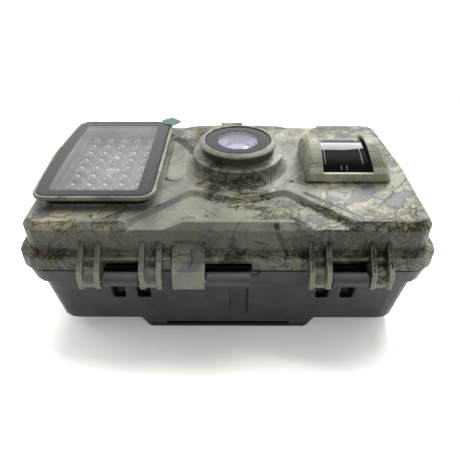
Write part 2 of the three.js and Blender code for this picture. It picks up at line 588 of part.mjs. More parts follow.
// ---------- electronics and inner cover ----------
function mainBoard() {
  const board = box(BOARD.x0, BOARD.x1, -BOARD.y, BOARD.y, BOARD.low, BOARD.top);
  const { notch, low, top } = BOARD;
  const notches = SCREWS.map(([x, y]) => box(x - notch, x + notch, y - notch, y + notch, low - 1, top + 1));
  const chips = CHIPS.map(([x, y, w, h]) =>
    box(x - w / 2, x + w / 2, y - h / 2, y + h / 2, top - 0.1, top + CHIP_HEIGHT));
  const sensor = box(LENS_X - IMAGE_SENSOR.x, LENS_X + IMAGE_SENSOR.x, -IMAGE_SENSOR.y, IMAGE_SENSOR.y,
    top - 0.1, top + IMAGE_SENSOR.height);
  const { half, height } = TACT;
  const switches = Object.values(KEYS)
    .map(([x, y]) => box(x - half, x + half, y - half, y + half, low - height, low + 0.1));
  return join(cut(board, ...notches), ...chips, sensor, ...switches);
}

function innerCover() {
  const half = (PANEL.end + PANEL.far) / 2;
  const plate = slab(outline(half, 35.8, 4, 0, PANEL.end - half), PANEL.low, PANEL.top);
  const skirt = box(PANEL.end - 1.4, PANEL.end, -30, 30, PANEL.top - 0.2, 43.6);
  const display = box(DISPLAY.x0 + 3, DISPLAY.x1 - 3, -DISPLAY.y + 3, DISPLAY.y - 3, 32, 36);
  const rebate = box(DISPLAY.x0 + 1.4, DISPLAY.x1 - 1.4, -DISPLAY.y + 1.4, DISPLAY.y - 1.4, 32, 34.1);
  const keyHoles = Object.values(KEYS).map(([x, y]) => post(x, y, 32, 36, KEY_R + 0.3, 16));
  const track = box(SWITCH.x - 3, SWITCH.x + 9, SWITCH.y - 1.9, SWITCH.y + 1.9, 32, 36);
  const sinks = SCREWS.map(([x, y]) => post(x, y, 32, 34, 2.5, 12));
  const shanks = SCREWS.map(([x, y]) => post(x, y, 32, 36, 1.2, 12));
  const [outside, inside] = [PANEL.end + 1, PANEL.end - 3];
  const cardSlot = box(inside, outside, -CARD.y - 0.7, CARD.y + 0.7, CARD.low - 0.6, CARD.top + 0.5);
  const usbPort = box(inside, outside, USB.y0 - 0.6, USB.y1 + 0.6, BOARD.top + 0.2, USB.top + 0.2);
  const leadNotch = box(5, 11, -37, -32.4, 32, 36);
  return cut(join(plate, skirt), display, rebate, ...keyHoles, track, ...sinks, ...shanks, cardSlot, usbPort,
    leadNotch);
}

const displayWindow = () =>
  box(DISPLAY.x0 + 1.7, DISPLAY.x1 - 1.7, -DISPLAY.y + 1.7, DISPLAY.y - 1.7, 33.1, 34);
const displayPanel = () => box(DISPLAY.x0, DISPLAY.x1, -DISPLAY.y, DISPLAY.y, PANEL.top + 0.4, 37.4);

function key([x, y]) {
  return turned([[0, 32.8], [KEY_R, 32.8], [KEY_R, 34.9], [KEY_R + 0.8, 34.9], [KEY_R + 0.8, 35.6],
    [1.4, 35.6], [1.4, 36.7], [0, 36.7]], x, y, 12);
}

function switchKnob() {
  const { x, y } = SWITCH;
  return join(box(x - 2.4, x + 2.4, y - 1.5, y + 1.5, 32.9, 35),
    box(x - 4, x + 4, y - 2.8, y + 2.8, 34.9, 35.6),
    box(x - 1, x + 1, y - 1, y + 1, 35.4, 37));
}

function modeSwitch() {
  const { x, y } = SWITCH;
  return cut(box(x - 4.6, x + 10.6, y - 3, y + 3, 36, BOARD.low - 0.1),
    box(x - 1.6, x + 7.6, y - 1.4, y + 1.4, 35, 37.6));
}

function cardSocket() {
  const { x0, x1, y, top, play } = CARD_SOCKET;
  return cut(box(x0, x1, -y, y, BOARD.top + 0.1, top),
    box(x0 + 1, x1 + 1, -CARD.y - play, CARD.y + play, CARD.low - 0.2, CARD.top + GAP));
}

const card = () => box(CARD.x0, CARD.x1, -CARD.y, CARD.y, CARD.low, CARD.top);

function usbSocket() {
  const { x0, x1, y0, y1, top, wall } = USB;
  return cut(box(x0, x1, y0, y1, BOARD.top + 0.1, top),
    box(x0 + 1.4, x1 + 1, y0 + wall, y1 - wall, BOARD.top + 0.8, top - 0.6));
}

const microphone = () => post(MIC.x, MIC.y, 41.6, CAVITY_TOP - 0.2, MIC.r, 16);

function panelScrew([x, y]) {
  return turned([[0, 33.1], [2.1, 33.1], [2.1, 33.8], [0.9, 33.9], [0.9, 40.6], [0, 41.2]], x, y, 10);
}

// ---------- latch ----------
function latchLever() {
  const { x0, x1, y, z, r, low, bore } = LATCH;
  const arm = polygon([[y + 0.4, z - 0.5], [y + r, z - 0.5], [46.2, 30], [47.4, low + 1], [46.6, low],
    [44.2, low], [43.6, low + 0.8], [43.6, 26.6], [44.4, 26.8], [44.2, 38]]);
  return cut(join(rod(x0, x1, y, z, r, 20), alongX(arm, x0, x1)), rod(x0 - 1, x1 + 1, y, z, bore, 12));
}

const latchPin = () =>
  rod(latchEarSpans[0][0] + 0.2, latchEarSpans[1][1] - 0.2, LATCH.y, LATCH.z, LATCH.pin, 12);

// ---------- the assembly ----------
const paint = (color, roughness, metalness = 0, extra = {}) =>
  new THREE.MeshStandardMaterial({ color, roughness, metalness, ...extra });
const glassy = (color, opacity) => paint(color, 0.08, 0, { transparent: true, opacity });
const MATERIALS = {
  camo: paint(0x6b6a57, 0.55),
  black: paint(0x2b2b2b, 0.5),
  rubber: paint(0x151515, 0.9),
  window: glassy(0x2a2a2e, 0.5),
  clear: glassy(0xdde6ea, 0.3),
  board: paint(0x1f3b2a, 0.6),
  part: paint(0x1a1a1c, 0.45),
  steel: paint(0xb9bcc0, 0.3, 1),
  brass: paint(0xb08d3c, 0.35, 1),
  jacket: paint(0x2c4f7c, 0.35),
  key: paint(0x8b8d8f, 0.6),
  tab: paint(0x2f7d68, 0.5),
};

const camera = new THREE.Group();

function place(name, made, material) {
  const mesh = made.getMesh();
  const geometry = new THREE.BufferGeometry();
  geometry.setAttribute("position", new THREE.BufferAttribute(new Float32Array(mesh.vertProperties), 3));
  geometry.setIndex(new THREE.BufferAttribute(new Uint32Array(mesh.triVerts), 1));
  const shown = new THREE.Mesh(geometry.toNonIndexed(), MATERIALS[material]);
  shown.geometry.computeVertexNormals();
  shown.name = name;
  camera.add(shown);
}

place("rear_case", rearCase(), "black");
place("gasket", gasket(), "rubber");
place("battery_tray", batteryTray(), "black");
rows.forEach((row, i) => {
  place(`battery_${i + 1}`, cell(0, row), "jacket");
  place(`battery_${i + 5}`, cell(1, row), "jacket");
  place(`contact_bridge_${i + 1}`, bridgeContact(row), "steel");
});
place("contact_pair_left_1", endContact(-1, rows[0], rows[1]), "steel");
place("contact_pair_left_2", endContact(-1, rows[2], rows[3]), "steel");
place("contact_pair_right", endContact(1, rows[1], rows[2]), "steel");
place("contact_plus", endContact(1, rows[0]), "steel");
place("contact_minus", endContact(1, rows[3]), "steel");
place("battery_lead", batteryLead(), "rubber");
place("tripod_insert", tripodInsert(), "brass");
place("hinge_pin_left", hingePin(HINGES[0] - PIN.end, HINGES[0] + PIN.end), "steel");
place("hinge_pin_right", hingePin(HINGES[1] - PIN.end, HINGES[1] + PIN.end), "steel");
place("hinge_pin_centre", hingePin(CENTRE_BLOCK.x0 + 0.1, CENTRE_BARREL.x1 - 0.1), "steel");

place("front_shell", frontShell(), "camo");
place("led_bezel", ledBezel(), "camo");
place("led_window", ledWindow(), "window");
place("ir_led_board", irLedBoard(), "board");
place("protective_film", protectiveFilm(), "tab");
place("lens_ring", lensRing(), "camo");
place("lens_window", lensWindow(), "window");
place("lens_barrel", lensBarrel(), "part");
place("lens_holder", lensHolder(), "part");
place("ir_cut_filter", irCutFilter(), "window");
place("pir_bezel", pirBezel(), "camo");
place("pir_lens", pirLens(), "window");
place("pir_sensor", pirSensor(), "steel");
place("main_board", mainBoard(), "board");
place("inner_cover", innerCover(), "black");
place("display_window", displayWindow(), "clear");
place("display_panel", displayPanel(), "part");
for (const [name, at] of Object.entries(KEYS)) place(name, key(at), "key");
place("switch_knob", switchKnob(), "key");
place("mode_switch", modeSwitch(), "part");
place("card_socket", cardSocket(), "steel");
place("memory_card", card(), "part");
place("usb_socket", usbSocket(), "steel");
place("microphone", microphone(), "part");
SCREWS.forEach((at, i) => place(`panel_screw_${i + 1}`, panelScrew(at), "steel"));
place("latch_lever", latchLever(), "camo");
place("latch_pin", latchPin(), "steel");

export default camera;
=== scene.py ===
"""A trail camera lying on its back: moulded shells, printed woodland pattern, lamp panel, lens, motion
sensor, hinges and the battery bay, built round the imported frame. Sizes written out here are millimetres
in the frame (+X to the sensor end, +Y to the latch, +Z out of the camera's front)."""
import json
import math
from functools import reduce

import bmesh
import bpy
from mathutils import Matrix, Vector

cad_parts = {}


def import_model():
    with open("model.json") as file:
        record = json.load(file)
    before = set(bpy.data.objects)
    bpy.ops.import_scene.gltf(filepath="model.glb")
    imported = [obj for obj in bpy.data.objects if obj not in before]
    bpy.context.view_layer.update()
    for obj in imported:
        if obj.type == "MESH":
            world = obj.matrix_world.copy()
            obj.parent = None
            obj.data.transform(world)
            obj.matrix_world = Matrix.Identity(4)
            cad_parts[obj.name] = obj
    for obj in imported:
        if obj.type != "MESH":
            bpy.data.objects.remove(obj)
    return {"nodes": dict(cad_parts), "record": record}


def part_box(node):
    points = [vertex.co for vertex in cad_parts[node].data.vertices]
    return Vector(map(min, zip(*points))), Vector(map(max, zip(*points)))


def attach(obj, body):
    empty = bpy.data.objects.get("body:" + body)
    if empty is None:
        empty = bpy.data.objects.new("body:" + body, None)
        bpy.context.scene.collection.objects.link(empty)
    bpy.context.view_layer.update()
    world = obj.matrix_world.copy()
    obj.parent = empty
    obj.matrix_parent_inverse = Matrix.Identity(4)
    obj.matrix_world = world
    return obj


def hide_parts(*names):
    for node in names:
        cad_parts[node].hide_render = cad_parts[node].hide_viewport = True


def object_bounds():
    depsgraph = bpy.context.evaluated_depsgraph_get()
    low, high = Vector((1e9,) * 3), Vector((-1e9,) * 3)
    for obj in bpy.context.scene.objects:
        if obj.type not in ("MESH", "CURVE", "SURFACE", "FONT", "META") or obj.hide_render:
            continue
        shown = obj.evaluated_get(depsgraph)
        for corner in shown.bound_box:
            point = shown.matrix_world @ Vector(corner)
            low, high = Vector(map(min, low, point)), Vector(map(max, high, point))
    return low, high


MM = 0.001
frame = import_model()
cad_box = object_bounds()
NODES = frame["nodes"]
BODIES = frame["record"]["behaviour"]["bodies"]
BODY_OF = {node: body for body, members in BODIES.items() for node in members}


def box_mm(node):
    """A CAD node's lowest and highest corners in millimetres."""
    low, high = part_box(node)
    return low / MM, high / MM


CASE_LOW, CASE_HIGH = box_mm("rear_case")
RING_LOW, RING_HIGH = box_mm("lens_ring")
PIR_LOW, PIR_HIGH = box_mm("pir_bezel")
WINDOW_LOW, WINDOW_HIGH = box_mm("led_window")
GASKET_LOW = box_mm("gasket")[0]
HALF_X = box_mm("front_shell")[1].x
HALF_Y = 0.9 - GASKET_LOW.y  # the cover's near wall, clear of the hinge ears
TOP = PIR_LOW.z  # height of the cover's flat face
FLANGE_TOP = GASKET_LOW.z + 7.0
CASE_RIM = GASKET_LOW.z + 1.5  # height of the rear case's rim
NEAREST = cad_box[0].y / MM  # the fronts of the hinge ears
LENS_X = (RING_LOW.x + RING_HIGH.x) / 2
PANEL_RIM_LOW = WINDOW_HIGH.z - 1.6  # underside of the lamp panel's rim


# ---- shader graphs
class Graph:
    """Short calls that build the nodes of one material, or of the world."""

    def __init__(self, name, owners=bpy.data.materials, output="OutputMaterial"):
        self.owner = owners.new(name)
        self.owner.use_nodes = True
        self.tree = self.owner.node_tree
        self.tree.nodes.clear()
        self.out = self.node(output)

    def node(self, kind, settings=None, **inputs):
        """A shader node; an input is named with _ for a space, or i0, i1, ... for its place in the list."""
        made = self.tree.nodes.new("ShaderNode" + kind)
        for key, value in (settings or {}).items():
            setattr(made, key, value)
        for key, value in inputs.items():
            self.feed(made.inputs[int(key[1:]) if key[1:].isdigit() else key.replace("_", " ")], value)
        return made

    def value(self, kind, settings=None, **inputs):
        """A shader node's first output."""
        return self.node(kind, settings, **inputs).outputs[0]

    def feed(self, socket, value):
        """Links or sets an input. A colour needs no alpha."""
        if isinstance(value, bpy.types.NodeSocket):
            self.tree.links.new(value, socket)
        else:
            socket.default_value = (*value[:3], 1.0) if socket.type == "RGBA" else value

    def place(self):
        """Object coordinates in millimetres."""
        coords = self.node("TexCoord").outputs["Object"]
        return self.scale(coords, (1 / MM,) * 3)

    def vectors(self, operation, a, b):
        """A Vector Math node's outputs."""
        return self.node("VectorMath", {"operation": operation}, i0=a, i1=b).outputs

    def scale(self, vector, by):
        return self.vectors("MULTIPLY", vector, by)[0]

    def turn(self, vector, degrees):
        angles = tuple(math.radians(a) for a in degrees)
        return self.value("VectorRotate", {"rotation_type": "EULER_XYZ"}, Vector=vector, Rotation=angles)

    def noise(self, vector, scale, detail=2.0, roughness=0.5):
        return self.value("TexNoise", Vector=vector, Scale=scale, Detail=detail, Roughness=roughness)

    def cloud(self, vector, scale, low, high, detail=3.0):
        """Soft patches between two values."""
        return self.step(self.noise(vector, scale, detail), 0.3, 0.7, low, high)

    def warp(self, vector, scale, amount):
        """vector pushed about by a smooth noise, amount millimetres at most."""
        push = self.node("TexNoise", Vector=vector, Scale=scale, Detail=2.0).outputs["Color"]
        centred = self.vectors("SUBTRACT", push, (0.5, 0.5, 0.5))[0]
        return self.vectors("ADD", vector, self.scale(centred, (2 * amount,) * 3))[0]

    def cells(self, vector, scale, feature="DISTANCE_TO_EDGE"):
        return self.node("TexVoronoi", {"feature": feature}, Vector=vector, Scale=scale).outputs["Distance"]

    def math(self, operation, a, b=0.0, c=0.5, clamp=False):
        """A Math node; c is only used by MULTIPLY_ADD."""
        return self.value("Math", {"operation": operation, "use_clamp": clamp}, i0=a, i1=b, i2=c)

    def step(self, value, start, end, low=0.0, high=1.0):
        """value mapped smoothly from start..end to low..high."""
        return self.value("MapRange", {"interpolation_type": "SMOOTHSTEP"}, Value=value, From_Min=start,
                          From_Max=end, To_Min=low, To_Max=high)

    def mix(self, share, a, b, blend="MIX"):
        """Colours mixed: inputs 6 and 7 and output 2 are a Mix node's colours."""
        return self.node("Mix", {"data_type": "RGBA", "blend_type": blend}, i0=share, i6=a, i7=b).outputs[2]

    def over(self, colour, top, *shares):
        """colour with top laid over it by the product of the shares."""
        return self.mix(self.times(*shares), colour, top)

    def shaded(self, colour, value):
        """colour times a number."""
        grey = self.value("CombineColor", i0=value, i1=value, i2=value)
        return self.mix(1.0, colour, grey, "MULTIPLY")

    def times(self, *values):
        return reduce(lambda a, b: self.math("MULTIPLY", a, b), values)

    def either(self, *values):
        return reduce(lambda a, b: self.math("MAXIMUM", a, b), values)

    def spots(self, vector, places):
        """1 in the middle of each (x, y, z, radius), falling to 0 at its radius."""
        found = []
        for x, y, z, radius in places:
            away = self.vectors("DISTANCE", vector, (x, y, z))["Value"]
            found.append(self.step(away, radius, radius * 0.2))
        return self.either(*found)

    def inside(self, vector, low, high):
        """1 between the corners low and high of a box, else 0."""
        axes = self.node("SeparateXYZ", i0=vector).outputs
        sides = [self.math("GREATER_THAN", axes[i], low[i]) for i in range(3)]
        sides += [self.math("LESS_THAN", axes[i], high[i]) for i in range(3)]
        return self.times(*sides)

    def unfold(self, vector):
        """Top and walls laid out as one sheet, so that a printed line runs on over an edge."""
        across = self.vectors("DOT_PRODUCT", vector, (1.0, 0.0, 0.5))["Value"]
        along = self.vectors("DOT_PRODUCT", vector, (0.0, 1.0, 0.9))["Value"]
        return self.value("CombineXYZ", X=across, Y=along)

    def strokes(self, sheet, angle, spacing, stretch, width, lean):
        """Short curved strokes in half the cells of a stretched mosaic, at most lean degrees either side of
        one direction. spacing and width are millimetres, and stretch is a cell's length over its width."""
        bow = spacing  # sideways sag over one cell's length
        size = (spacing, spacing * stretch, 1.0)
        mosaic = self.scale(self.turn(sheet, (0, 0, angle)), tuple(1 / side for side in size))
        cell = self.node("TexVoronoi", {"voronoi_dimensions": "2D"}, Vector=mosaic, Scale=1.0)
        offset = self.vectors("SUBTRACT", mosaic, cell.outputs["Position"])[0]
        chance = self.node("SeparateColor", i0=cell.outputs["Color"])
        tilt = self.math("MULTIPLY_ADD", chance.outputs[0], 2 * math.radians(lean), -math.radians(lean))
        offset = self.scale(offset, size)
        spun = self.value("VectorRotate", {"rotation_type": "Z_AXIS"}, Vector=offset, Angle=tilt)
        across, length = self.node("SeparateXYZ", i0=spun).outputs[:2]
        sag = self.math("MULTIPLY", self.math("POWER", self.math("DIVIDE", length, size[1]), 2.0), bow)
        off = self.math("ABSOLUTE", self.math("SUBTRACT", across, sag))
        along = self.math("ABSOLUTE", length)
        drawn = self.step(chance.outputs[1], 0.46, 0.54)
        end = self.math("MULTIPLY_ADD", chance.outputs[2], 0.25 * size[1], 0.25 * size[1])
        inside = self.step(self.math("SUBTRACT", along, end), 0.05 * size[1], -0.05 * size[1])
        return self.times(self.step(off, width * 0.62, width * 0.32), inside, drawn)

    def layers(self, *layers):
        """Several layers of strokes; each holds the arguments of one."""
        return self.either(*(self.strokes(*layer) for layer in layers))

    def bump(self, height, distance_mm, strength=1.0):
        return self.value("Bump", Strength=strength, Distance=distance_mm * MM, Height=height)

    def blend(self, share, a, b):
        return self.value("MixShader", i0=share, i1=a, i2=b)

    def surface(self, **inputs):
        """A Principled surface on the output."""
        return self.finish(self.value("BsdfPrincipled", **inputs))

    def finish(self, shader):
        self.feed(self.out.inputs[0], shader)
        return self.owner


# ---- the woodland print
GREY_BEIGE = (0.312, 0.306, 0.242)
GREY_DARK = (0.188, 0.190, 0.146)
BLUE_GREY = (0.120, 0.124, 0.138)
CREAM = (0.440, 0.400, 0.255)
TAN = (0.260, 0.200, 0.095)
BRUSH = (0.048, 0.048, 0.034)
MOSS = (0.240, 0.260, 0.095)
TWIG = (0.010, 0.010, 0.009)
# pale colour of the painted highlight on sharp edges and in the listed boxes
PAINTED_EDGE_LIGHT = (0.600, 0.580, 0.460)

# Places of the print: x and y as shares of the cover's half length and half width, height and radius in mm.
BUSY = (
    (-0.06, -0.44, TOP, 9), (0.10, -0.52, TOP, 10), (0.22, -0.70, TOP, 11), (0.42, -0.88, TOP, 15),
    (0.60, -0.95, 43, 17), (0.88, -0.92, 40, 20), (0.34, -1.0, 40, 10), (0.05, -1.0, 40, 8),
    (-0.97, -0.90, 38, 12), (-0.80, -1.0, 34, 9), (-0.22, 0.62, TOP, 12), (0.66, 0.74, TOP, 14),
    (0.15, 0.86, TOP, 12), (-0.50, 1.0, 42, 18), (0.30, 1.0, 38, 14), (-1.0, 0.25, 42, 18),
    (1.0, 0.30, 40, 22), (0.92, 0.80, TOP, 13), (0.08, -1.0, 31, 9))
LEAFY = (
    (0.60, -0.52, TOP, 15), (0.74, -0.66, TOP, 13), (0.88, -0.55, TOP, 9), (-0.80, -0.86, TOP, 8),
    (-0.56, -0.84, TOP, 7), (-0.50, -0.96, 43, 7), (-0.74, -0.96, 43, 6), (0.55, 0.70, TOP, 12),
    (-0.10, 0.80, TOP, 9), (0.95, 0.0, 43, 12), (-0.95, 0.55, 42, 12), (-0.70, 1.0, 42, 12),
    (0.42, -0.30, TOP, 7), (0.14, -0.62, TOP, 7))
MOSSY = ((0.43, -0.32, 51, 6), (0.41, 0.0, 57, 9), (0.80, -0.30, 52, 8))

# Branches: start and end (shares of half length and half width, height in mm), and width in mm.
BRANCHES = (
    ((0.22, -0.93, 47), (0.30, -1.0, 33), 1.20),
    ((0.31, -0.90, 48), (0.25, -1.0, 40), 0.70),
    ((0.10, -0.95, 42.5), (0.27, -1.0, 39.5), 0.60),
    ((0.02, -0.97, 40), (0.12, -1.0, 33), 0.90),
    ((0.17, -0.86, 48), (0.05, -1.0, 36), 0.80),
    ((-0.86, -0.80, 48.5), (-0.80, -1.0, 33), 0.50),
    ((-0.62, -0.84, 48.5), (-0.66, -1.0, 34), 0.60),
    ((-0.10, -0.80, 48.5), (-0.02, -0.97, 38), 0.70),
    ((0.30, -0.28, 48.5), (0.42, -0.40, 48.5), 0.30),
    ((0.44, -0.22, 52), (0.50, -0.16, 57), 0.35),
    ((-0.30, 0.55, 48.5), (-0.08, -0.06, 48.5), 2.40),
    ((0.38, -0.50, 48.5), (0.62, -0.86, 48), 0.90),
    ((0.70, -0.72, 48.5), (0.95, -0.20, 48.5), 0.45),
    ((0.45, 0.95, 47), (0.55, 1.0, 33), 1.00),
    ((-0.55, 0.95, 47), (-0.40, 1.0, 34), 0.95),
    ((-0.98, 0.45, 46), (-1.0, 0.10, 34), 0.85),
    ((0.97, -0.30, 46), (1.0, 0.25, 35), 0.90),
)

# Boxes (mm) where the print gets a painted highlight and is painted paler: the fronts of the hinge ears and
# the sensor hood's near bar.
PAINTED_LIGHT_PLACES = (
    ((-HALF_X, NEAREST - 1, 20), (HALF_X, NEAREST + 0.8, TOP)),
    ((PIR_LOW.x, PIR_LOW.y - 1, TOP + 0.6), (PIR_HIGH.x, PIR_LOW.y + 1.4, PIR_HIGH.z)),
)


def on_cover(x, y, *rest):
    """x and y turned from shares of the cover's half length and half width into millimetres."""
    return (x * HALF_X, y * HALF_Y, *rest)


def near_any(g, place, places):
    """1 at the middle of any of the places, falling to 0 at its radius."""
    return g.spots(place, [on_cover(*entry) for entry in places])


def leaves(g, sheet, place, colour):
    """Broad torn leaves: pale ones, cool shadows between them, dark veins and fine scribbles."""
    stretched = g.warp(g.scale(g.turn(sheet, (0, 0, 50)), (1.0, 0.45, 1.0)), 0.35, 1.2)
    torn = g.warp(stretched, 1.3, 0.45)
    cell_scale = 0.19
    leaf = g.node("TexVoronoi", {"feature": "F1"}, Vector=torn, Scale=cell_scale)
    chance = g.node("SeparateColor", i0=leaf.outputs["Color"])
    pale = g.step(chance.outputs[0], 0.40, 0.43)
    cool = g.step(chance.outputs[1], 0.50, 0.53)
    patchy = g.times(g.noise(sheet, 0.06, 3.0), 1.3)
    zone = g.step(g.math("ADD", near_any(g, g.warp(place, 0.09, 7.0), LEAFY), patchy), 0.92, 1.06)
    colour = g.over(colour, BLUE_GREY, cool, zone, 0.8)
    fade = g.step(g.noise(sheet, 0.25, 3.0), 0.35, 0.65, 0.35, 0.85)
    colour = g.over(colour, CREAM, pale, zone, fade)
    veins = g.step(g.cells(torn, cell_scale), 0.06, 0.02)
    scribbles = g.layers((sheet, 15, 1.2, 3.0, 0.24, 25), (sheet, 75, 1.6, 3.0, 0.24, 25))
    dense = g.step(g.noise(sheet, 0.22, 2.0), 0.44, 0.54)
    marks = g.either(g.times(veins, 0.6), g.times(scribbles, dense, 0.8))
    return g.over(colour, BRUSH, marks, zone)


def undergrowth(g, sheet, bent, busy, colour):
    """Thickets: a dark torn ground, mossy and tan flecks on it, and layers of fine straight twigs."""
    thick = g.math("ADD", busy, g.times(g.noise(bent, 0.09, 4.0, 0.6), 1.6))
    ground = g.step(thick, 0.88, 1.30)
    tone = g.step(g.noise(bent, 0.20, 4.0, 0.65), 0.36, 0.56)
    colour = g.over(colour, BRUSH, ground, tone, 0.92)
    moss = g.step(g.noise(g.scale(bent, (1.0, 0.5, 1.0)), 0.22, 4.0), 0.52, 0.64)
    colour = g.over(colour, MOSS, moss, ground, 0.55)
    tan = g.step(g.noise(g.turn(bent, (0, 0, 80)), 0.15, 4.0), 0.56, 0.68)
    colour = g.over(colour, TAN, tan, ground, 0.6)
    flecks = g.layers((sheet, -52, 1.3, 5.0, 0.30, 12), (bent, 30, 1.6, 5.0, 0.30, 14),
                      (bent, 70, 2.1, 4.0, 0.32, 14))
    colour = g.over(colour, CREAM, flecks, ground, 0.6)
    clumped = ((10, (sheet, -28, 1.1, 7.0, 0.30, 8)), (100, (bent, 42, 1.2, 7.0, 0.30, 9)),
               (200, (bent, 84, 1.2, 6.0, 0.30, 9)))
    clumps = [g.times(g.strokes(*layer), g.step(g.noise(g.turn(sheet, (0, 0, angle)), 0.11, 3.0), 0.40, 0.55))
              for angle, layer in clumped]
    twigs = g.either(*clumps, g.layers((bent, -62, 1.7, 6.0, 0.38, 12), (sheet, 12, 2.0, 6.0, 0.38, 12),
                                       (bent, 62, 2.4, 6.0, 0.50, 12)))
    return g.over(colour, TWIG, twigs, g.step(thick, 0.80, 1.05), 0.9)


def branches(g, place):
    """How much of a point lies on one of the printed branches, which taper to half their width."""
    found = []
    for start, end, width in BRANCHES:
        first = Vector(on_cover(*start))
        along = Vector(on_cover(*end)) - first
        offset = g.vectors("SUBTRACT", place, tuple(first))[0]
        reach = g.vectors("DOT_PRODUCT", offset, tuple(along / along.length_squared))["Value"]
        share = g.math("ADD", reach, 0.0, clamp=True)
        foot = g.value("VectorMath", {"operation": "SCALE"}, i0=tuple(along), Scale=share)
        away = g.vectors("DISTANCE", offset, foot)["Value"]
        thick = g.math("MULTIPLY_ADD", share, -0.5 * width, width)
        found.append(g.step(g.math("DIVIDE", away, thick), 1.15, 0.75))
    return g.either(*found)


def background(g, place, sheet, bent):
    """Soft greys with cool streaks, and moss on the sensor hood's near corner and left side."""
    colour = g.mix(g.step(g.noise(sheet, 0.040, 3.0), 0.34, 0.64), GREY_DARK, GREY_BEIGE)
    streaks = g.noise(g.scale(g.turn(bent, (0, 0, 35)), (1.0, 0.22, 1.0)), 0.12, 4.0)
    colour = g.over(colour, BLUE_GREY, g.step(streaks, 0.46, 0.70), 0.75)
    patchy = g.step(g.noise(bent, 0.22, 3.0), 0.40, 0.60)
    return g.over(colour, MOSS, near_any(g, place, MOSSY), patchy, 0.8)


def paint_edge_light_and_corner_shade(g, place, colour):
    """Painted light on the film: sharp edges and the listed boxes are painted paler as a painted highlight,
    and hollow corners are painted darker as painted shade.
    """
    sharpness = g.node("NewGeometry").outputs["Pointiness"]
    # painted highlight: sharp edges painted paler
    colour = g.mix(g.step(sharpness, 0.515, 0.57, 0.0, 0.75), colour, PAINTED_EDGE_LIGHT)
    # painted shade: hollow corners painted darker with the brush colour
    colour = g.mix(g.step(sharpness, 0.485, 0.42, 0.0, 0.8), colour, BRUSH)
    # painted highlight: the fronts of the hinge ears and the sensor hood's near bar painted paler
    for corner, opposite in PAINTED_LIGHT_PLACES:
        colour = g.over(colour, PAINTED_EDGE_LIGHT, g.inside(place, corner, opposite), 0.6)
    return colour


def camo_material(name, low, high, shade):
    """Film-printed woodland pattern: soft greys, pale leaves, thickets of fine twigs and dark branches.
    Painted shade darkens it on the cover's walls, and darkens it to the share shade between the corners low
    and high of a box."""
    g = Graph(name)
    place = g.place()
    sheet = g.unfold(place)
    bent = g.warp(sheet, 0.10, 3.0)
    colour = leaves(g, bent, place, background(g, place, sheet, bent))
    colour = undergrowth(g, sheet, bent, near_any(g, g.warp(place, 0.075, 9.0), BUSY), colour)
    loose = g.step(g.noise(bent, 0.06, 2.0), 0.44, 0.60)
    stray = g.layers((bent, 25, 3.6, 5.0, 0.30, 14), (bent, -58, 4.2, 5.0, 0.34, 14),
                     (sheet, 70, 5.0, 4.5, 0.36, 20))
    colour = g.over(colour, TWIG, stray, loose, 0.75)
    colour = g.over(colour, TWIG, branches(g, g.warp(place, 0.25, 0.8)), 0.85)
    # painted highlight on edges and painted shade in corners
    colour = paint_edge_light_and_corner_shade(g, place, colour)
    # painted shade: darkened to the share shade inside the box
    colour = g.over(colour, (0, 0, 0), g.inside(place, low, high), 1 - shade)
    height = g.node("SeparateXYZ", i0=place).outputs[2]
    # painted shade: the cover's walls, from the flange up to the top, are painted darker
    wall = g.times(g.step(height, TOP - 2.0, TOP - 2.8), g.step(height, FLANGE_TOP - 0.2, FLANGE_TOP + 0.6))
    mottle = g.cloud(place, 1.2, 0.90, 1.08)
    colour = g.shaded(colour, g.times(mottle, g.step(wall, 0.0, 1.0, 1.0, 0.68)))
    grain = g.bump(g.noise(place, 3.2), 0.02, 0.2)
    return g.surface(Base_Color=colour, Roughness=g.cloud(place, 0.4, 0.34, 0.44), IOR=1.48, Normal=grain)


# ---- other materials
def plastic_material(name, colour, roughness, grain_mm=0.04, shade_boxes=()):
    """Moulded plastic: fine spark-eroded grain, faint cloudiness and slightly uneven sheen. In the boxes of
    the last argument, given by two corners in millimetres and a share, painted shade darkens the finish."""
    g = Graph(name)
    place = g.place()
    sheen = g.cloud(place, 0.5, roughness - 0.05, roughness + 0.06)
    shade = g.shaded(colour, g.cloud(place, 0.12, 0.86, 1.14))
    for low, high, share in shade_boxes:
        # painted shade inside each box
        shade = g.over(shade, (0.003, 0.003, 0.003), g.inside(place, low, high), share)
    grain = g.bump(g.noise(place, 2.6, 3.0, 0.6), grain_mm, 0.5)
    return g.surface(Base_Color=shade, Roughness=sheen, IOR=1.46, Normal=grain)


def metal_material(name, colour, roughness):
    """Metal with fine lines drawn along X."""
    g = Graph(name)
    place = g.place()
    lines = g.noise(g.scale(place, (0.15, 2.0, 2.0)), 2.0, 3.0, 0.6)
    return g.surface(Base_Color=g.shaded(colour, g.cloud(place, 0.3, 0.82, 1.06)), Metallic=1.0,
                     Roughness=g.step(lines, 0.3, 0.7, roughness - 0.08, roughness + 0.1),
                     Normal=g.bump(lines, 0.02, 0.4))


def board_material():
    """Circuit board: solder mask over copper runs, with tinned pads."""
    g = Graph("circuit_board")
    flat = g.scale(g.place(), (1.0, 1.0, 0.01))
    runs = g.step(g.cells(flat, 0.45), 0.05, 0.02)
    pads = g.step(g.cells(flat, 0.30, "F1"), 0.14, 0.11)
    colour = g.over((0.012, 0.075, 0.040), (0.030, 0.150, 0.085), runs, 0.6)
    colour = g.mix(pads, colour, (0.60, 0.60, 0.56))
    return g.surface(Base_Color=colour, Roughness=0.35, Metallic=g.times(pads, 0.8),
                     Normal=g.bump(runs, 0.04, 0.5))


def lamp_board_material():
    """The lamp board: dark grey solder mask, a little dusty."""
    g = Graph("lamp_board")
    dust = g.cloud(g.place(), 0.5, 0.0, 1.0, detail=4.0)
    return g.surface(Base_Color=g.mix(dust, (0.075, 0.075, 0.078), (0.11, 0.11, 0.115)), Roughness=0.5)


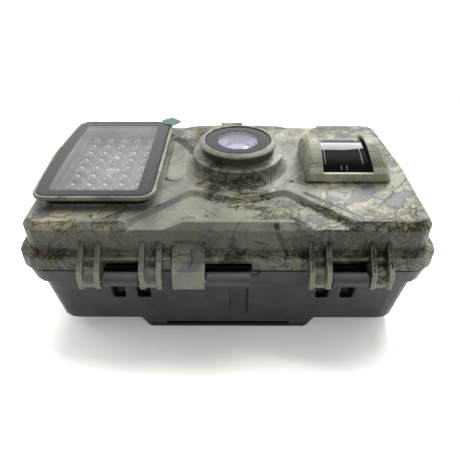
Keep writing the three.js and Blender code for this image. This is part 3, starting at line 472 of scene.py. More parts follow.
def clear_material(name, haze, haze_share, tint=(1.0, 1.0, 1.0)):
    """A clear window: what lies behind shows through, with a little haze and a sharp reflection."""
    g = Graph(name)
    through = g.value("BsdfTransparent", Color=tint)
    veil = g.value("BsdfDiffuse", Color=haze)
    smear = g.cloud(g.place(), 0.05, haze_share * 0.6, haze_share * 1.4)
    shine = g.value("BsdfGlossy", Color=(1, 1, 1), Roughness=0.03)
    outer_face = g.math("SUBTRACT", 1.0, g.node("NewGeometry").outputs["Backfacing"])
    edge = g.times(g.value("Fresnel", IOR=1.49), outer_face)
    return g.finish(g.blend(edge, g.blend(smear, through, veil), shine))


def gloss_black_material(name, colour=(0.010, 0.010, 0.012), roughness=0.04):
    """Black print behind a polished surface."""
    g = Graph(name)
    wave = g.bump(g.noise(g.place(), 0.10), 0.05, 0.3)
    return g.surface(Base_Color=colour, Roughness=roughness, IOR=1.50, Coat_Weight=0.1, Coat_Roughness=0.02,
                     Normal=wave)


def lamp_dome_material():
    """Water-clear epoxy lamp, dark inside, with two painted highlights for the glints of its cup, set by the
    normal's direction.
    """
    g = Graph("lamp_dome")
    facing = g.node("LayerWeight", Blend=0.35).outputs["Facing"]
    colour = g.mix(facing, (0.22, 0.22, 0.225), (0.03, 0.03, 0.035))
    normal = g.node("NewGeometry").outputs["Normal"]
    # painted highlights: pale spots where the normal points along two fixed directions
    for direction, start, end in (((0.30, 0.50, 0.81), 0.80, 0.96), ((-0.58, -0.58, 0.57), 0.955, 0.985)):
        painted_glint = g.vectors("DOT_PRODUCT", normal, direction)["Value"]
        colour = g.mix(g.step(painted_glint, start, end), colour, (0.95, 0.95, 0.96))
    return g.surface(Base_Color=colour, Roughness=0.22, Metallic=0.0, IOR=1.6, Coat_Weight=1.0,
                     Coat_Roughness=0.05)


def lens_bowl_material():
    """Coated optics: a pale lavender colour over stepped rings, the coating's tint lightened as a painted
    reflection, brightest where the surface faces the viewer.
    """
    g = Graph("coated_optics")
    # painted reflection: paler where the surface faces the viewer
    facing = g.node("LayerWeight", Blend=0.5).outputs["Facing"]
    colour = g.mix(facing, (0.80, 0.79, 0.83), (0.42, 0.41, 0.48))
    return g.surface(Base_Color=colour, Metallic=0.25, Coat_Weight=1.0, Coat_Roughness=0.03,
                     Roughness=g.cloud(g.place(), 1.0, 0.10, 0.2, detail=2.0), Coat_Tint=(0.94, 0.92, 1.0))


def film_material(name, colour, share):
    """Thin polyester film that hides share of what lies behind it."""
    g = Graph(name)
    through = g.value("BsdfTransparent", Color=(1, 1, 1))
    crease = g.bump(g.noise(g.place(), 0.25), 0.15, 0.4)
    sheet = g.value("BsdfPrincipled", Base_Color=colour, Roughness=0.25, Normal=crease, Coat_Weight=0.5)
    return g.finish(g.blend(share, through, sheet))


def case_shade_boxes():
    """Boxes of painted shade on the rear case: its foot, the shut line round its rim, and the pockets under
    the outer hinges."""
    foot_top = 3.2
    boxes = [(CASE_LOW, (CASE_HIGH.x, CASE_HIGH.y, foot_top), 0.75),
             ((-HALF_X, GASKET_LOW.y - 1.5, CASE_RIM - 0.8), (HALF_X, CASE_HIGH.y, CASE_RIM + 1.2), 1.0)]
    for pin in ("hinge_pin_left", "hinge_pin_right"):
        low, high = box_mm(pin)
        middle = (low.x + high.x) / 2
        boxes.append(((middle - 8.8, -36.9, 15.4), (middle + 7.6, -33.9, 22.8), 0.95))
    return boxes


DARK = 0.06  # light left in the gap under the lamp panel's rim
UNDER_RIM = (HALF_X, HALF_Y, PANEL_RIM_LOW)
# painted shade: the shell where it rises under the lamp panel's rim is darkened
CAMO = camo_material("woodland_print", (-HALF_X, -HALF_Y, TOP + 0.2), (WINDOW_HIGH.x, *UNDER_RIM[1:]), DARK)
# painted shade: the lamp bezel below its rim is darkened
SHADED_BEZEL = camo_material("woodland_print_bezel_shaded", (-HALF_X, -HALF_Y, 0), UNDER_RIM, DARK)
# painted shade: the lens ring's groove is darkened
SHADED_GROOVE = camo_material("woodland_print_groove_shaded", (-HALF_X, -HALF_Y, 0), (HALF_X, HALF_Y, RING_HIGH.z), 0.22)
BLACK = plastic_material("black_plastic", (0.105, 0.104, 0.100), 0.42, 0.03)
CASE = plastic_material("rear_case_plastic", (0.115, 0.116, 0.116), 0.42, 0.03, case_shade_boxes())
GREY = plastic_material("key_plastic", (0.23, 0.235, 0.24), 0.45)
PART = plastic_material("component_plastic", (0.018, 0.018, 0.020), 0.35)
RUBBER = plastic_material("seal_rubber", (0.012, 0.012, 0.012), 0.75, 0.06)
JACKET = plastic_material("cell_jacket", (0.020, 0.022, 0.026), 0.25, 0.01)
COPPER = metal_material("cell_copper_band", (0.55, 0.27, 0.12), 0.28)
STEEL = metal_material("plated_steel", (0.62, 0.62, 0.60), 0.28)
BRASS = metal_material("turned_brass", (0.72, 0.52, 0.22), 0.28)
BOARD = board_material()
LAMP_BOARD = lamp_board_material()
DOME = lamp_dome_material()
GLOSS_BLACK = gloss_black_material("gloss_black")
SENSOR_BLACK = gloss_black_material("sensor_window", (0.006, 0.006, 0.007), 0.03)
SCREEN = gloss_black_material("display_glass", (0.012, 0.016, 0.022), 0.08)
OPTICS = lens_bowl_material()
LAMP_CLEAR = clear_material("lamp_window", (0.75, 0.75, 0.76), 0.09)
LENS_CLEAR = clear_material("lens_glass", (0.7, 0.7, 0.8), 0.05, (0.97, 0.96, 1.0))
DISPLAY_CLEAR = clear_material("display_acrylic", (0.8, 0.8, 0.8), 0.05)
FILTER = clear_material("filter_glass", (0.5, 0.8, 0.8), 0.15, (0.65, 0.95, 0.95))
FILM = film_material("clear_film", (0.8, 0.8, 0.8), 0.012)
TAB = film_material("green_film", (0.018, 0.115, 0.085), 0.94)
# painted highlight: the window's ribs are pale grey for the light their edges catch
RIB_HIGHLIGHT = plastic_material("window_rib", (0.70, 0.70, 0.74), 0.3, 0.005)
STRIP = plastic_material("sensor_strip", (0.52, 0.45, 0.30), 0.4)
LEAD_RED = plastic_material("lead_red", (0.35, 0.02, 0.015), 0.35, 0.02)


# ---- meshes
def paint(obj, *materials):
    obj.data.materials.clear()
    for material in materials:
        obj.data.materials.append(material)


def added(name, data):
    """A new object in the scene."""
    obj = bpy.data.objects.new(name, data)
    bpy.context.scene.collection.objects.link(obj)
    return obj


def nodes_named(start):
    return sorted(node for node in NODES if node.startswith(start))


def stands_for(obj, node):
    """obj is shown in place of a CAD node, and rides on its body."""
    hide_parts(node)
    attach(obj, BODY_OF[node])


def piece(name, verts, faces, node, *materials, smooth=35.0, indices=None, bevel=0.0, segments=3):
    """A new mesh in millimetres that stands for a CAD node."""
    mesh = bpy.data.meshes.new(name)
    mesh.from_pydata([Vector(v) * MM for v in verts], [], faces)
    obj = added(name, mesh)
    paint(obj, *materials)
    if indices:
        mesh.polygons.foreach_set("material_index", indices)
    work = bmesh.new()
    work.from_mesh(mesh)
    bmesh.ops.recalc_face_normals(work, faces=work.faces)
    work.to_mesh(mesh)
    work.free()
    mesh.shade_smooth()
    if bevel:
        soften(obj, bevel, segments)
    mesh.set_sharp_from_angle(angle=math.radians(smooth))
    stands_for(obj, node)


def soften(obj, width, segments):
    """Rounds a piece's edges."""
    made = obj.modifiers.new("soften", "BEVEL")
    made.width = width * MM
    made.segments = segments
    made.limit_method = "ANGLE"
    made.angle_limit = math.radians(30.0)
    made.harden_normals = True


def welded(node, material):
    """A shown CAD node with its doubled vertices merged."""
    obj = NODES[node]
    paint(obj, material)
    obj.modifiers.new("weld", "WELD").merge_threshold = 1e-6
    return obj


def mould(node, voxel, passes, material, most_faces=90000):
    """A CAD node shown as a moulding: its solid remeshed finely and relaxed, which rounds every edge."""
    obj = welded(node, material)
    remesh = obj.modifiers.new("remesh", "REMESH")
    remesh.mode = "VOXEL"
    remesh.voxel_size = voxel * MM
    remesh.use_smooth_shade = True
    relax = obj.modifiers.new("relax", "SMOOTH")
    relax.factor = 0.5
    relax.iterations = passes
    faces = len(obj.evaluated_get(bpy.context.evaluated_depsgraph_get()).data.polygons)
    if faces > most_faces:
        obj.modifiers.new("thin", "DECIMATE").ratio = most_faces / faces


def plain(node, material, bevel=0.12, segments=2):
    """A CAD node kept as it is, with its edges rounded."""
    obj = welded(node, material)
    flat = obj.modifiers.new("flat", "DECIMATE")
    flat.decimate_type = "DISSOLVE"
    flat.angle_limit = math.radians(1.0)
    soften(obj, bevel, segments)


def rounded(*corners, closed=False):
    """A polyline through (x, y, rounding) corners, with each one rounded."""
    points = [Vector(corner[:2]) for corner in corners]
    count = len(points)
    steps = 4
    out = []
    for i, here in enumerate(points):
        radius = corners[i][2]
        if radius <= 0 or (not closed and i in (0, count - 1)):
            out.append(here)
            continue
        back = points[i - 1] - here
        on = points[(i + 1) % count] - here
        reach = min(radius, back.length * 0.49, on.length * 0.49)
        start = here + back.normalized() * reach
        end = here + on.normalized() * reach
        for k in range(steps + 1):
            t = k / steps
            out.append(start * (1 - t) ** 2 + here * 2 * t * (1 - t) + end * t * t)
    return out


TURNS = {"Z": Matrix.Identity(3), "X": Matrix(((0, 0, 1), (0, 1, 0), (-1, 0, 0))),
         "-X": Matrix(((0, 0, -1), (0, 1, 0), (1, 0, 0)))}


def revolved(profile, sides):
    """Vertices and faces of a profile (radius, height) turned round Z. Radius 0 makes a single vertex."""
    verts, faces, rings = [], [], []
    for r, h in profile:
        if r < 1e-6:
            rings.append([len(verts)])
            verts.append((0, 0, h))
            continue
        rings.append(range(len(verts), len(verts) + sides))
        for k in range(sides):
            angle = 2 * math.pi * k / sides
            verts.append((r * math.cos(angle), r * math.sin(angle), h))
    for i in range(len(rings) - 1):
        low, high = rings[i], rings[i + 1]
        for k in range(sides):
            n = (k + 1) % sides
            if len(low) == 1:
                faces.append((low[0], high[k], high[n]))
            elif len(high) == 1:
                faces.append((low[k], low[n], high[0]))
            else:
                faces.append((low[k], low[n], high[n], high[k]))
    return verts, faces


def turned(name, profile, node, *materials, centre, axis="Z", sides=64, bands=None):
    """A turned piece; its profile runs from one pole or rim to the other, and bands holds each ring's slot."""
    verts, faces = revolved(profile, sides)
    verts = [TURNS[axis] @ Vector(v) + Vector(centre) for v in verts]
    indices = [band for band in bands or () for _ in range(sides)]
    piece(name, verts, faces, node, *materials, indices=indices, smooth=40.0)


def outline(x0, x1, y0, y1, r, bow=0.0, steps=8):
    """A rectangle with round corners whose -X side may bulge."""
    points = []
    corners = ((x1 - r, y0 + r, -90), (x1 - r, y1 - r, 0), (x0 + r, y1 - r, 90), (x0 + r, y0 + r, 180))
    middle = (y0 + y1) / 2
    half = (y1 - y0) / 2
    parts = 8  # of a short side
    for i, (cx, cy, start) in enumerate(corners):
        for k in range(steps + 1):
            angle = math.radians(start + 90 * k / steps)
            points.append([cx + r * math.cos(angle), cy + r * math.sin(angle)])
        if i in (0, 2):
            going = 1 if i == 0 else -1
            edge = x1 if i == 0 else x0
            for k in range(1, parts):
                points.append([edge, middle + going * (half - r) * (2 * k / parts - 1)])
    for p in points:
        if p[0] <= (x0 + x1) / 2:
            p[0] -= bow * (1 - ((p[1] - middle) / half) ** 2)
    return points


def plate(name, loop, z0, z1, node, *materials, bevel=0.15, hole=None, segments=2):
    """A flat plate between two heights, with an optional hole that has as many points as the outline."""
    count = len(loop)
    verts = [(x, y, z) for z in (z0, z1) for x, y in loop]
    faces = [(i, (i + 1) % count, count + (i + 1) % count, count + i) for i in range(count)]
    if hole:
        verts += [(x, y, z) for z in (z0, z1) for x, y in hole]
        for i in range(count):
            n = (i + 1) % count
            faces.append((2 * count + i, 3 * count + i, 3 * count + n, 2 * count + n))
            faces.append((i, 2 * count + i, 2 * count + n, n))
            faces.append((count + i, count + n, 3 * count + n, 3 * count + i))
    else:
        faces += [tuple(range(count - 1, -1, -1)), tuple(range(count, 2 * count))]
    piece(name, verts, faces, node, *materials, bevel=bevel, segments=segments)


# ---- the mouldings
def mouldings():
    mould("front_shell", 0.28, 3, CAMO)
    mould("led_bezel", 0.18, 3, SHADED_BEZEL, 40000)
    mould("pir_bezel", 0.18, 4, CAMO, 50000)
    mould("latch_lever", 0.18, 3, CAMO, 30000)
    mould("rear_case", 0.36, 3, CASE)
    mould("inner_cover", 0.34, 2, BLACK, 60000)
    mould("battery_tray", 0.36, 2, BLACK, 40000)
    mould("lens_holder", 0.25, 2, PART, 20000)
    mould("switch_knob", 0.15, 3, GREY, 12000)
    mould("gasket", 0.30, 1, RUBBER, 20000)


# ---- lamp panel
def lamp_window():
    """Black printed border round a clear middle."""
    bow = 1.7
    low, high = WINDOW_LOW, WINDOW_HIGH
    outer = outline(low.x + bow, high.x, low.y, high.y, 3.7, bow)
    border_left, border_right, border_near, border_far = 5.2, 4.5, 3.2, 3.9
    clear = (low.x + border_left, high.x - border_right, low.y + border_near, high.y - border_far)
    corner, clear_bow = 0.7, 0.9
    thick = 0.85
    plate("lamp_window_border", outer, high.z - thick, high.z, "led_window", GLOSS_BLACK,
          hole=outline(*clear, corner, clear_bow), bevel=0.2)
    gap = 0.02
    pane = outline(clear[0] + gap, clear[1] - gap, clear[2] + gap, clear[3] - gap, corner, clear_bow)
    plate("lamp_window_pane", pane, high.z - thick + gap, high.z - gap, "led_window", LAMP_CLEAR, bevel=0.0)


def protective_film():
    """The film over the lamp window, with its green pull tab at the far right corner."""
    high = box_mm("protective_film")[1]
    bow, inset = 1.7, 0.8
    sheet = outline(WINDOW_LOW.x + bow + inset, WINDOW_HIGH.x - inset, WINDOW_LOW.y + inset,
                    WINDOW_HIGH.y - inset, 3.0, bow)
    plate("film_sheet", sheet, high.z - 0.12, high.z - 0.06, "protective_film", FILM, bevel=0.0)
    corners = ((-8.7, -3.3), (-7.6, -7.3), (-2.8, -8.8), (0.0, -4.8), (-4.6, 0.0))
    tab = rounded(*((high.x + x, high.y + y, 0.5) for x, y in corners), closed=True)
    plate("film_pull_tab", tab, high.z - 0.22, high.z, "protective_film", TAB, bevel=0.04, segments=1)


LAMP_COLUMNS, LAMP_ROWS = 5, 8
LAMP_PITCH_X, LAMP_PITCH_Y = 5.65, 6.13
LAMPS_MIDDLE_Y = 0.7
SENSOR_PLACE, LARGE_LAMP_PLACE = (2, 3), (2, 4)  # column and row
BOARD_THICK = 1.2


def lamp_place(column, row):
    """Middle of a lamp on the board."""
    first_x = box_mm("ir_led_board")[0].x + 3.4
    return first_x + column * LAMP_PITCH_X, LAMPS_MIDDLE_Y + (row - (LAMP_ROWS - 1) / 2) * LAMP_PITCH_Y


def lamp_board():
    """The lamps' board, and the liner that stands round its edge."""
    low, high = box_mm("ir_led_board")
    top = low.z + BOARD_THICK
    edge = outline(low.x, high.x, low.y, high.y, 0.8)
    plate("lamp_board", edge, low.z, top, "ir_led_board", LAMP_BOARD, bevel=0.1)
    wall = 0.25
    opening = outline(low.x + wall, high.x - wall, low.y + wall, high.y - wall, 0.6)
    plate("lamp_liner", edge, top, high.z, "ir_led_board", LAMP_BOARD, bevel=0.0, hole=opening)


def lamps():
    """Rows of clear domes, with a light sensor and a larger lamp in the middle column."""
    top = box_mm("ir_led_board")[0].z + BOARD_THICK
    verts, faces = [], []
    for column in range(LAMP_COLUMNS):
        for row in range(LAMP_ROWS):
            if (column, row) == SENSOR_PLACE:
                continue
            more_verts, more_faces = lamp(2.5, 1.2) if (column, row) == LARGE_LAMP_PLACE else lamp(1.7, 0.9)
            faces += [[len(verts) + i for i in face] for face in more_faces]
            verts += [Vector(v) + Vector((*lamp_place(column, row), top)) for v in more_verts]
    piece("lamp_domes", verts, faces, "ir_led_board", DOME)
    x, y = lamp_place(*SENSOR_PLACE)
    radius, height = 2.7, 1.2
    profile = rounded((0, height, 0), (radius - 0.3, height, 0.25), (radius, height - 0.3, 0.25),
                      (radius, 0, 0.25), (0, 0, 0))
    turned("light_sensor", profile, "ir_led_board", DOME, centre=(x, y, top), sides=40)
    strip = outline(x - 2.0, x + 2.0, y - 0.55, y + 0.55, 0.4, steps=3)
    plate("light_sensor_strip", strip, top + height - 0.05, top + height + 0.25, "ir_led_board", STRIP,
          bevel=0.05)


def lamp(r, collar):
    """Vertices and faces of one lamp: a flange, a short cylinder and a hemisphere."""
    sides, rings = 20, 6
    profile = [(r + 0.25, 0), (r + 0.25, 0.35), (r, 0.4), (r, collar)]
    profile += [(r * math.cos(a), collar + r * math.sin(a))
                for a in (math.pi / 2 * k / rings for k in range(1, rings))]
    verts, faces = revolved([*profile, (0, collar + r)], sides)
    return verts, [*faces, tuple(range(sides - 1, -1, -1))]


# ---- lens
BORE = 11.9  # radius of the ring's opening
FACE = RING_HIGH.z - 0.4  # height of the lens window's outer face
LENS_TOP = (LENS_X, 0, FACE)


def lens_ring():
    """Stepped ring whose groove under its lip is painted darker as painted shade."""
    low, top = RING_LOW.z, RING_HIGH.z
    flange = (RING_HIGH.x - RING_LOW.x) / 2
    seat, groove, shoulder, lip = 11.0, 12.8, 13.0, 13.9
    ledge = low + 0.9
    profile = rounded(
        (seat, low, 0), (flange, low, 0.3), (flange, ledge, 0.4), (shoulder, ledge + 0.4, 0.3),
        (groove, ledge + 0.8, 0.2), (groove, top - 1.4, 0.2), (lip, top - 1.3, 0.25), (lip, top - 0.65, 0.5),
        (BORE + 0.5, top, 0.5), (BORE, top - 0.1, 0.1), (BORE, top - 1.6, 0.1), (seat, top - 1.6, 0.1),
        (seat, low, 0))
    grooved = [1 if BORE + 0.5 < r < shoulder + 0.02 and ledge + 0.3 < h < top - 1.3 else 0
               for r, h in profile[:-1]]
    turned("lens_ring_turned", profile, "lens_ring", CAMO, SHADED_GROOVE, centre=(LENS_X, 0, 0), sides=128,
           bands=grooved)


def lens_window():
    """Black printed disc with a clear middle."""
    clear, edge, thick = 7.3, BORE - 0.15, 1.2
    mask = rounded((clear, -thick, 0), (edge, -thick, 0.1), (edge, 0, 0.25), (clear + 0.15, 0, 0.1),
                   (clear, -0.15, 0.1), (clear, -thick, 0))
    turned("lens_mask", mask, "lens_window", GLOSS_BLACK, centre=LENS_TOP, sides=128)
    gap = 0.02
    glass = rounded((0, 0.1 - thick, 0), (clear - gap, 0.1 - thick, 0.05), (clear - gap, -gap, 0.1),
                    (0, -gap, 0))
    turned("lens_glass", glass, "lens_window", LENS_CLEAR, centre=LENS_TOP, sides=96)


def lens_barrel():
    """The coated optics: stairs down to a bowl, in a dark barrel."""
    base = box_mm("lens_barrel")[0].z - FACE
    wide, bowl, bowl_top, bowl_rise = 8.1, 5.3, -3.6, 1.5
    profile = rounded(
        (0, base, 0), (5.8, base, 0.2), (5.8, -6.6, 0.3), (wide, -5.4, 0.3), (wide, -1.3, 0.12),
        (7.6, -1.3, 0.12), (7.2, -1.9, 0.12), (6.9, -2.0, 0.12), (6.5, -2.7, 0.12), (6.2, -2.8, 0.12),
        (5.7, -3.5, 0.12), (bowl, bowl_top, 0))
    steps = 10
    for k in range(1, steps):
        angle = math.pi / 2 * k / steps
        profile.append((bowl * math.cos(angle), bowl_top + bowl_rise * math.sin(angle)))
    profile.append((0, bowl_top + bowl_rise))
    dark_rings = 14  # the barrel's outside, up to its wide part
    turned("lens_barrel_turned", profile, "lens_barrel", OPTICS, PART, centre=LENS_TOP, sides=96,
           bands=[1 if i < dark_rings else 0 for i in range(len(profile) - 1)])


# ---- motion sensor
HOOD_TAPER = 0.12  # how much shorter the hood is at its apex, all at its +X end
ARC_STEPS = 48
# Ribs moulded on the window: share of its length, and the steps of the arc that they run over. The short ones
# are there at both eaves.
WINDOW_RIBS = ((0.20, 6, 42), (0.74, 6, 42), (0.42, 2, 6), (0.50, 2, 6))


def lean_hood(x, z):
    """X of a hood point, drawn towards the hood's -X end with its height."""
    share = (z - PIR_LOW.z) / (PIR_HIGH.z - PIR_LOW.z)
    return PIR_LOW.x + (x - PIR_LOW.x) * (1 - HOOD_TAPER * share)


def window_arc(low, high):
    """The window's half-barrel section as (y, z), from its near foot to its far one."""
    y = (high.y - low.y) / 2
    rise = high.z - (PIR_LOW.z + 3.4)
    radius = (y * y + rise * rise) / (2 * rise)
    half = math.asin(y / radius)
    angles = [half * (1 - 2 * k / ARC_STEPS) for k in range(ARC_STEPS + 1)]
    arc = [(-radius * math.sin(a), high.z - radius + radius * math.cos(a)) for a in angles]
    return [(-y, low.z), *arc, (y, low.z)]


def sensor_window():
    """The curved black window: a half-barrel skin between the housing's two arches, with moulded ribs."""
    low, high = box_mm("pir_lens")
    arc = window_arc(low, high)
    inside = [(y * 0.94, low.z + (z - low.z) * 0.93) for y, z in arc]
    verts = [(lean_hood(x, z), y, z) for x in (low.x, high.x) for y, z in arc + inside]
    n = len(arc)
    faces = [(0, 2 * n, 3 * n, n), (n - 1, 2 * n - 1, 4 * n - 1, 3 * n - 1)]
    for i in range(n - 1):
        faces.append((i, i + 1, 2 * n + i + 1, 2 * n + i))
        faces.append((n + i, 3 * n + i, 3 * n + i + 1, n + i + 1))
        faces.append((i, n + i, n + i + 1, i + 1))
        faces.append((2 * n + i, 2 * n + i + 1, 3 * n + i + 1, 3 * n + i))
    piece("sensor_window_skin", verts, faces, "pir_lens", SENSOR_BLACK)
    for number, (share, first, last) in enumerate(WINDOW_RIBS, 1):
        x = low.x + share * (high.x - low.x)
        window_rib(f"sensor_rib_{number}_near", x, arc[first:last])
        if last < ARC_STEPS / 2:
            window_rib(f"sensor_rib_{number}_far", x, [(-y, z) for y, z in arc[first:last]])


def window_rib(name, x, path):
    """A fine ridge that runs over the window in a plane across it."""
    half, proud = 0.07, 0.04
    verts, faces = [], []
    for y, z in path:
        out = Vector((0, y, max(z - PIR_LOW.z, 1.0))).normalized() * proud
        middle = lean_hood(x, z)
        verts += [(middle - half, y, z), (middle, y + out.y, z + out.z), (middle + half, y, z)]
    for i in range(len(path) - 1):
        a, b = 3 * i, 3 * i + 3
        faces += [(a, a + 1, b + 1, b), (a + 1, a + 2, b + 2, b + 1), (a, b, b + 2, a + 2)]
    faces += [(0, 1, 2), (len(verts) - 3, len(verts) - 2, len(verts) - 1)]
    piece(name, verts, faces, "pir_lens", RIB_HIGHLIGHT)


def sensor_can():
    """The sensor's metal can on its little board."""
    low, high = box_mm("pir_sensor")
    x = (low.x + high.x) / 2
    top = low.z + BOARD_THICK
    edge = outline(low.x, high.x, low.y, high.y, 0.6)
    plate("sensor_board", edge, low.z, top, "pir_sensor", BOARD, bevel=0.1)
    brim, can = 4.9, 4.5
    profile = rounded((0, top, 0), (brim, top, 0.05), (brim, top + 0.4, 0.1), (can, top + 0.5, 0.1),
                      (can, high.z, 0.5), (0, high.z, 0))
    turned("sensor_can", profile, "pir_sensor", STEEL, centre=(x, 0, 0))
    slot = outline(x - 1.9, x + 1.9, -1.5, 1.5, 0.3, steps=3)
    plate("sensor_eye", slot, high.z - 0.1, high.z + 0.1, "pir_sensor", GLOSS_BLACK, bevel=0.03)


# ---- fasteners, cells and electronics
def pins():
    for node in (*nodes_named("hinge_pin"), "latch_pin"):
        low, high = box_mm(node)
        middle = (low + high) / 2
        r = (high.z - low.z) / 2
        length = high.x - low.x
        profile = rounded((0, 0, 0), (r, 0, 0.25), (r, length, 0.25), (0, length, 0))
        turned(node + "_turned", profile, node, STEEL, centre=(low.x, *middle.yz), axis="X", sides=32)


def cells():
    """AA cells: dark sleeve, copper shoulder, bare ends and a plus nub."""
    for number in range(1, 9):
        node = f"battery_{number}"
        low, high = box_mm(node)
        middle = (low + high) / 2
        plus_right = number % 2 == 1
        length = high.x - low.x
        r = (high.z - low.z) / 2
        body = length - 1.1
        shoulder = body * 0.72
        profile = rounded(
            (0, 0.25, 0), (4.6, 0.25, 0.1), (5.0, 0, 0.1), (6.4, 0, 0.2), (r, 0.5, 0.3), (r, shoulder, 0),
            (r, body - 0.6, 0.3), (6.3, body, 0.2), (5.2, body, 0.1), (4.9, body - 0.2, 0.1),
            (2.9, body - 0.2, 0.1), (2.7, length, 0.4), (0, length, 0))
        bands = []
        for _, h in profile[:-1]:
            bare = h < 0.4 or h > body - 0.35
            bands.append(0 if bare else 2 if h > shoulder - 0.005 * body else 1)
        turned(f"cell_{number}", profile, node, STEEL, JACKET, COPPER, sides=56, bands=bands,
               centre=(low.x if plus_right else high.x, *middle.yz), axis="X" if plus_right else "-X")


def contacts():
    """Springs and wire bridges are moulded soft, and the plus contact is a flat plate."""
    plain("contact_plus", STEEL, 0.15)
    for node in nodes_named("contact"):
        if node != "contact_plus":
            mould(node, 0.14, 2, STEEL, 16000)


def keys():
    """Round keys with a dished, softly rounded cap."""
    for node in nodes_named("key_"):
        low, high = box_mm(node)
        middle = (low + high) / 2
        skirt = (high.x - low.x) / 2
        cap, stem, length = skirt - 0.8, 1.4, high.z - low.z
        profile = rounded((0, 0.18, 0), (cap * 0.7, 0.1, 0.8), (cap - 0.35, 0, 0.3), (cap, 0.4, 0.3),
                          (cap, 2.1, 0.1), (skirt, 2.1, 0.1), (skirt, 2.8, 0.1), (stem, 2.8, 0.1),
                          (stem, length, 0.2), (0, length, 0))
        turned(node + "_cap", profile, node, GREY, centre=(*middle.xy, low.z), sides=56)


def screws():
    """Self-tapping screws: a pan head with a round dimple, and a threaded shank."""
    turns = 9
    for node in nodes_named("panel_screw"):
        low, high = box_mm(node)
        middle = (low + high) / 2
        length = high.z - low.z
        pitch = (length - 1.6) / turns
        profile = [(0, 0.45), (0.5, 0.4), (0.9, 0), (1.7, 0.05), (2.0, 0.5), (2.0, 0.7), (0.85, 0.8)]
        for k in range(turns):
            profile += [(0.68, 1.0 + k * pitch), (0.95, 1.0 + (k + 0.5) * pitch)]
        profile += [(0.6, length - 0.5), (0, length)]
        turned(node + "_turned", profile, node, STEEL, centre=(*middle.xy, low.z), sides=32)


def tripod_insert():
    """A brass insert with a coarse thread in its bore."""
    low, high = box_mm("tripod_insert")
    r = (high.z - low.z) / 2
    length = high.x - low.x
    crest, root = 3.1, 3.3
    profile = [(crest, 0), (r, 0), (r, length), (3.4, length), (crest, length - 0.3)]
    turns = 6
    for k in range(turns):
        profile += [(root, length - 0.5 - (k + 0.3) * length / (turns + 1)),
                    (crest, length - 0.5 - (k + 0.8) * length / (turns + 1))]
    profile.append((crest, 0))
    turned("tripod_insert_turned", profile, "tripod_insert", BRASS, axis="X",
           centre=(low.x, 0, (low.z + high.z) / 2))


def microphone():
    """A capsule with a small hole in its face."""
    low, high = box_mm("microphone")
    middle = (low + high) / 2
    r, hole, dip = 3.0, 0.6, 0.3
    profile = rounded((0, low.z, 0), (r, low.z, 0.2), (r, high.z, 0.3), (hole, high.z, 0.1),
                      (hole, high.z - dip, 0), (0, high.z - dip, 0))
    turned("microphone_capsule", profile, "microphone", STEEL, centre=(*middle.xy, 0), sides=48)


def electronics():
    plain("main_board", BOARD, 0.1, 1)
    plain("display_window", DISPLAY_CLEAR)
    plain("display_panel", SCREEN, 0.15)
    plain("mode_switch", PART)
    plain("card_socket", STEEL)
    plain("memory_card", PART)
    plain("usb_socket", STEEL)
    plain("ir_cut_filter", FILTER, 0.08)


def lead():
    """The battery lead: two wires that cross the hinge in one soft loop, from the tray to the cover."""
    low, high = box_mm("battery_lead")
    path = [Vector(p) for p in ((high.x - 0.8, high.y - 0.8, low.z + 0.9), (30, -33, 24), (14, -34.3, 27),
                                (8, -34.3, high.z - 0.5))]
    for side, shift, material in (("a", -0.45, LEAD_RED), ("b", 0.45, RUBBER)):
        curve = bpy.data.curves.new("lead_" + side, "CURVE")
        curve.dimensions = "3D"
        curve.bevel_depth = 0.42 * MM
        curve.bevel_resolution = 4
        curve.resolution_u = 16
        curve.use_fill_caps = True
        spline = curve.splines.new("NURBS")
        spline.points.add(len(path) - 1)
        for point, at in zip(spline.points, path):
            point.co = (*((at + Vector((shift, 0, 0))) * MM), 1.0)
        spline.use_endpoint_u = True
        spline.order_u = 4
        curve.materials.append(material)
        stands_for(added("battery_lead_" + side, curve), "battery_lead")


# ---- stage
CAMERA_PLACE = Vector((1.2, -146.8, 125.6))
CAMERA_TILT = 53.81  # degrees up from looking straight down
CAMERA_PAN = 0.19
LENS_LENGTH = 34.39  # on a 36 mm sensor


def area_light(name, place, aim, size, power, glossy=True):
    """A rectangular light; places and sizes are metres."""
    data = bpy.data.lights.new(name, "AREA")
    data.shape = "RECTANGLE"
    data.size, data.size_y = size
    data.energy = power
    obj = added(name, data)
    obj.location = place
    obj.rotation_euler = (Vector(aim) - Vector(place)).to_track_quat("-Z", "Y").to_euler()
    obj.visible_glossy = glossy


def world():
    """White to the camera; as a light, a pale backdrop behind the object and a dim room in front."""
    g = Graph("studio", bpy.data.worlds, "OutputWorld")
    bpy.context.scene.world = g.owner
    direction = g.node("SeparateXYZ", i0=g.node("TexCoord").outputs["Generated"]).outputs
    height = g.node("ValToRGB", i0=direction[2])
    stops = height.color_ramp.elements
    for position, value in ((0.0, 0.85), (0.12, 1.05), (0.48, 1.10), (0.60, 0.55), (0.85, 0.30), (1.0, 0.22)):
        stops.new(position).color = (value, value, value * 1.01, 1)
    stops.remove(stops[0])
    behind = g.value("MapRange", i0=direction[1], From_Min=-0.35, From_Max=0.35, To_Min=0.15, To_Max=1.0)
    lit = g.value("Background", Color=height.outputs[0], Strength=behind)
    seen = g.value("Background", Color=(1, 1, 1))
    g.finish(g.blend(g.node("LightPath").outputs["Is Camera Ray"], lit, seen))


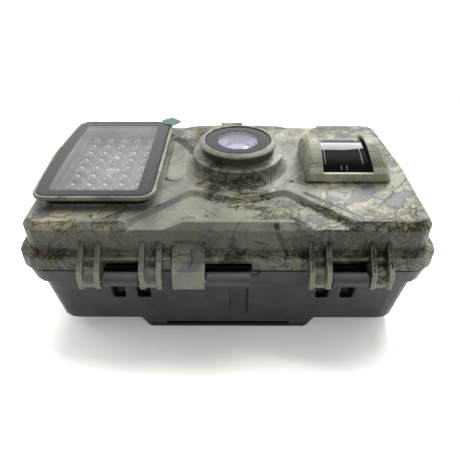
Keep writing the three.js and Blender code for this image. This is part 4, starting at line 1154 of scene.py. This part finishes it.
def floor_material():
    """Bright to the camera, pure white further off, duller in reflections and dim as a bounce light."""
    g = Graph("floor")
    path = g.node("LightPath").outputs
    diffuse = g.value("BsdfDiffuse", Color=(2.0, 1.99, 1.92))
    near = g.value("AddShader", i0=diffuse, i1=g.value("Emission", Color=(1, 1, 0.93), Strength=0.06))
    white = g.value("Emission", Color=(1, 1, 1), Strength=1.0)
    away = g.node("VectorMath", {"operation": "LENGTH"}, i0=g.place()).outputs["Value"]
    mirrored = g.value("BsdfDiffuse", Color=(1.35, 1.35, 1.31))
    bounce = g.value("BsdfDiffuse", Color=(0.19, 0.19, 0.182))
    unseen = g.blend(path["Is Glossy Ray"], bounce, mirrored)
    return g.finish(g.blend(path["Is Camera Ray"], unseen, g.blend(g.step(away, 130, 260), near, white)))


def floor():
    """A white sweep that the object rests on."""
    mesh = bpy.data.meshes.new("floor")
    size = 3.0
    height = cad_box[0].z - 0.0002
    corners = ((-size, -size), (size, -size), (size, size), (-size, size))
    mesh.from_pydata([(x, y, height) for x, y in corners], [], [(0, 1, 2, 3)])
    mesh.materials.append(floor_material())
    added("floor", mesh)


def lights():
    area_light("softbox_top", (0.05, 0.22, 0.56), (0, 0, 0.03), (0.55, 0.40), 3.2, glossy=False)
    area_light("softbox_back", (0.225, 0.58, 0.63), (0, 0, 0.05), (0.20, 0.48), 2.4)
    area_light("softbox_left", (-0.60, 0.10, 0.45), (0, 0, 0.03), (0.35, 0.35), 0.4, glossy=False)
    area_light("fill_front", (0.25, -0.55, 0.40), (0, 0, 0.02), (0.20, 0.20), 0.8, glossy=False)


def camera():
    data = bpy.data.cameras.new("camera")
    data.lens = LENS_LENGTH
    data.sensor_width = 36.0
    data.clip_start = 0.005
    obj = added("camera", data)
    obj.location = CAMERA_PLACE * MM
    obj.rotation_euler = (math.radians(CAMERA_TILT), 0, math.radians(CAMERA_PAN))
    bpy.context.scene.camera = obj
    bpy.context.scene.view_settings.view_transform = "Standard"


mouldings()
lamp_window()
protective_film()
lamp_board()
lamps()
lens_ring()
lens_window()
lens_barrel()
sensor_window()
sensor_can()
pins()
cells()
contacts()
keys()
screws()
tripod_insert()
microphone()
electronics()
lead()
world()
floor()
lights()
camera()
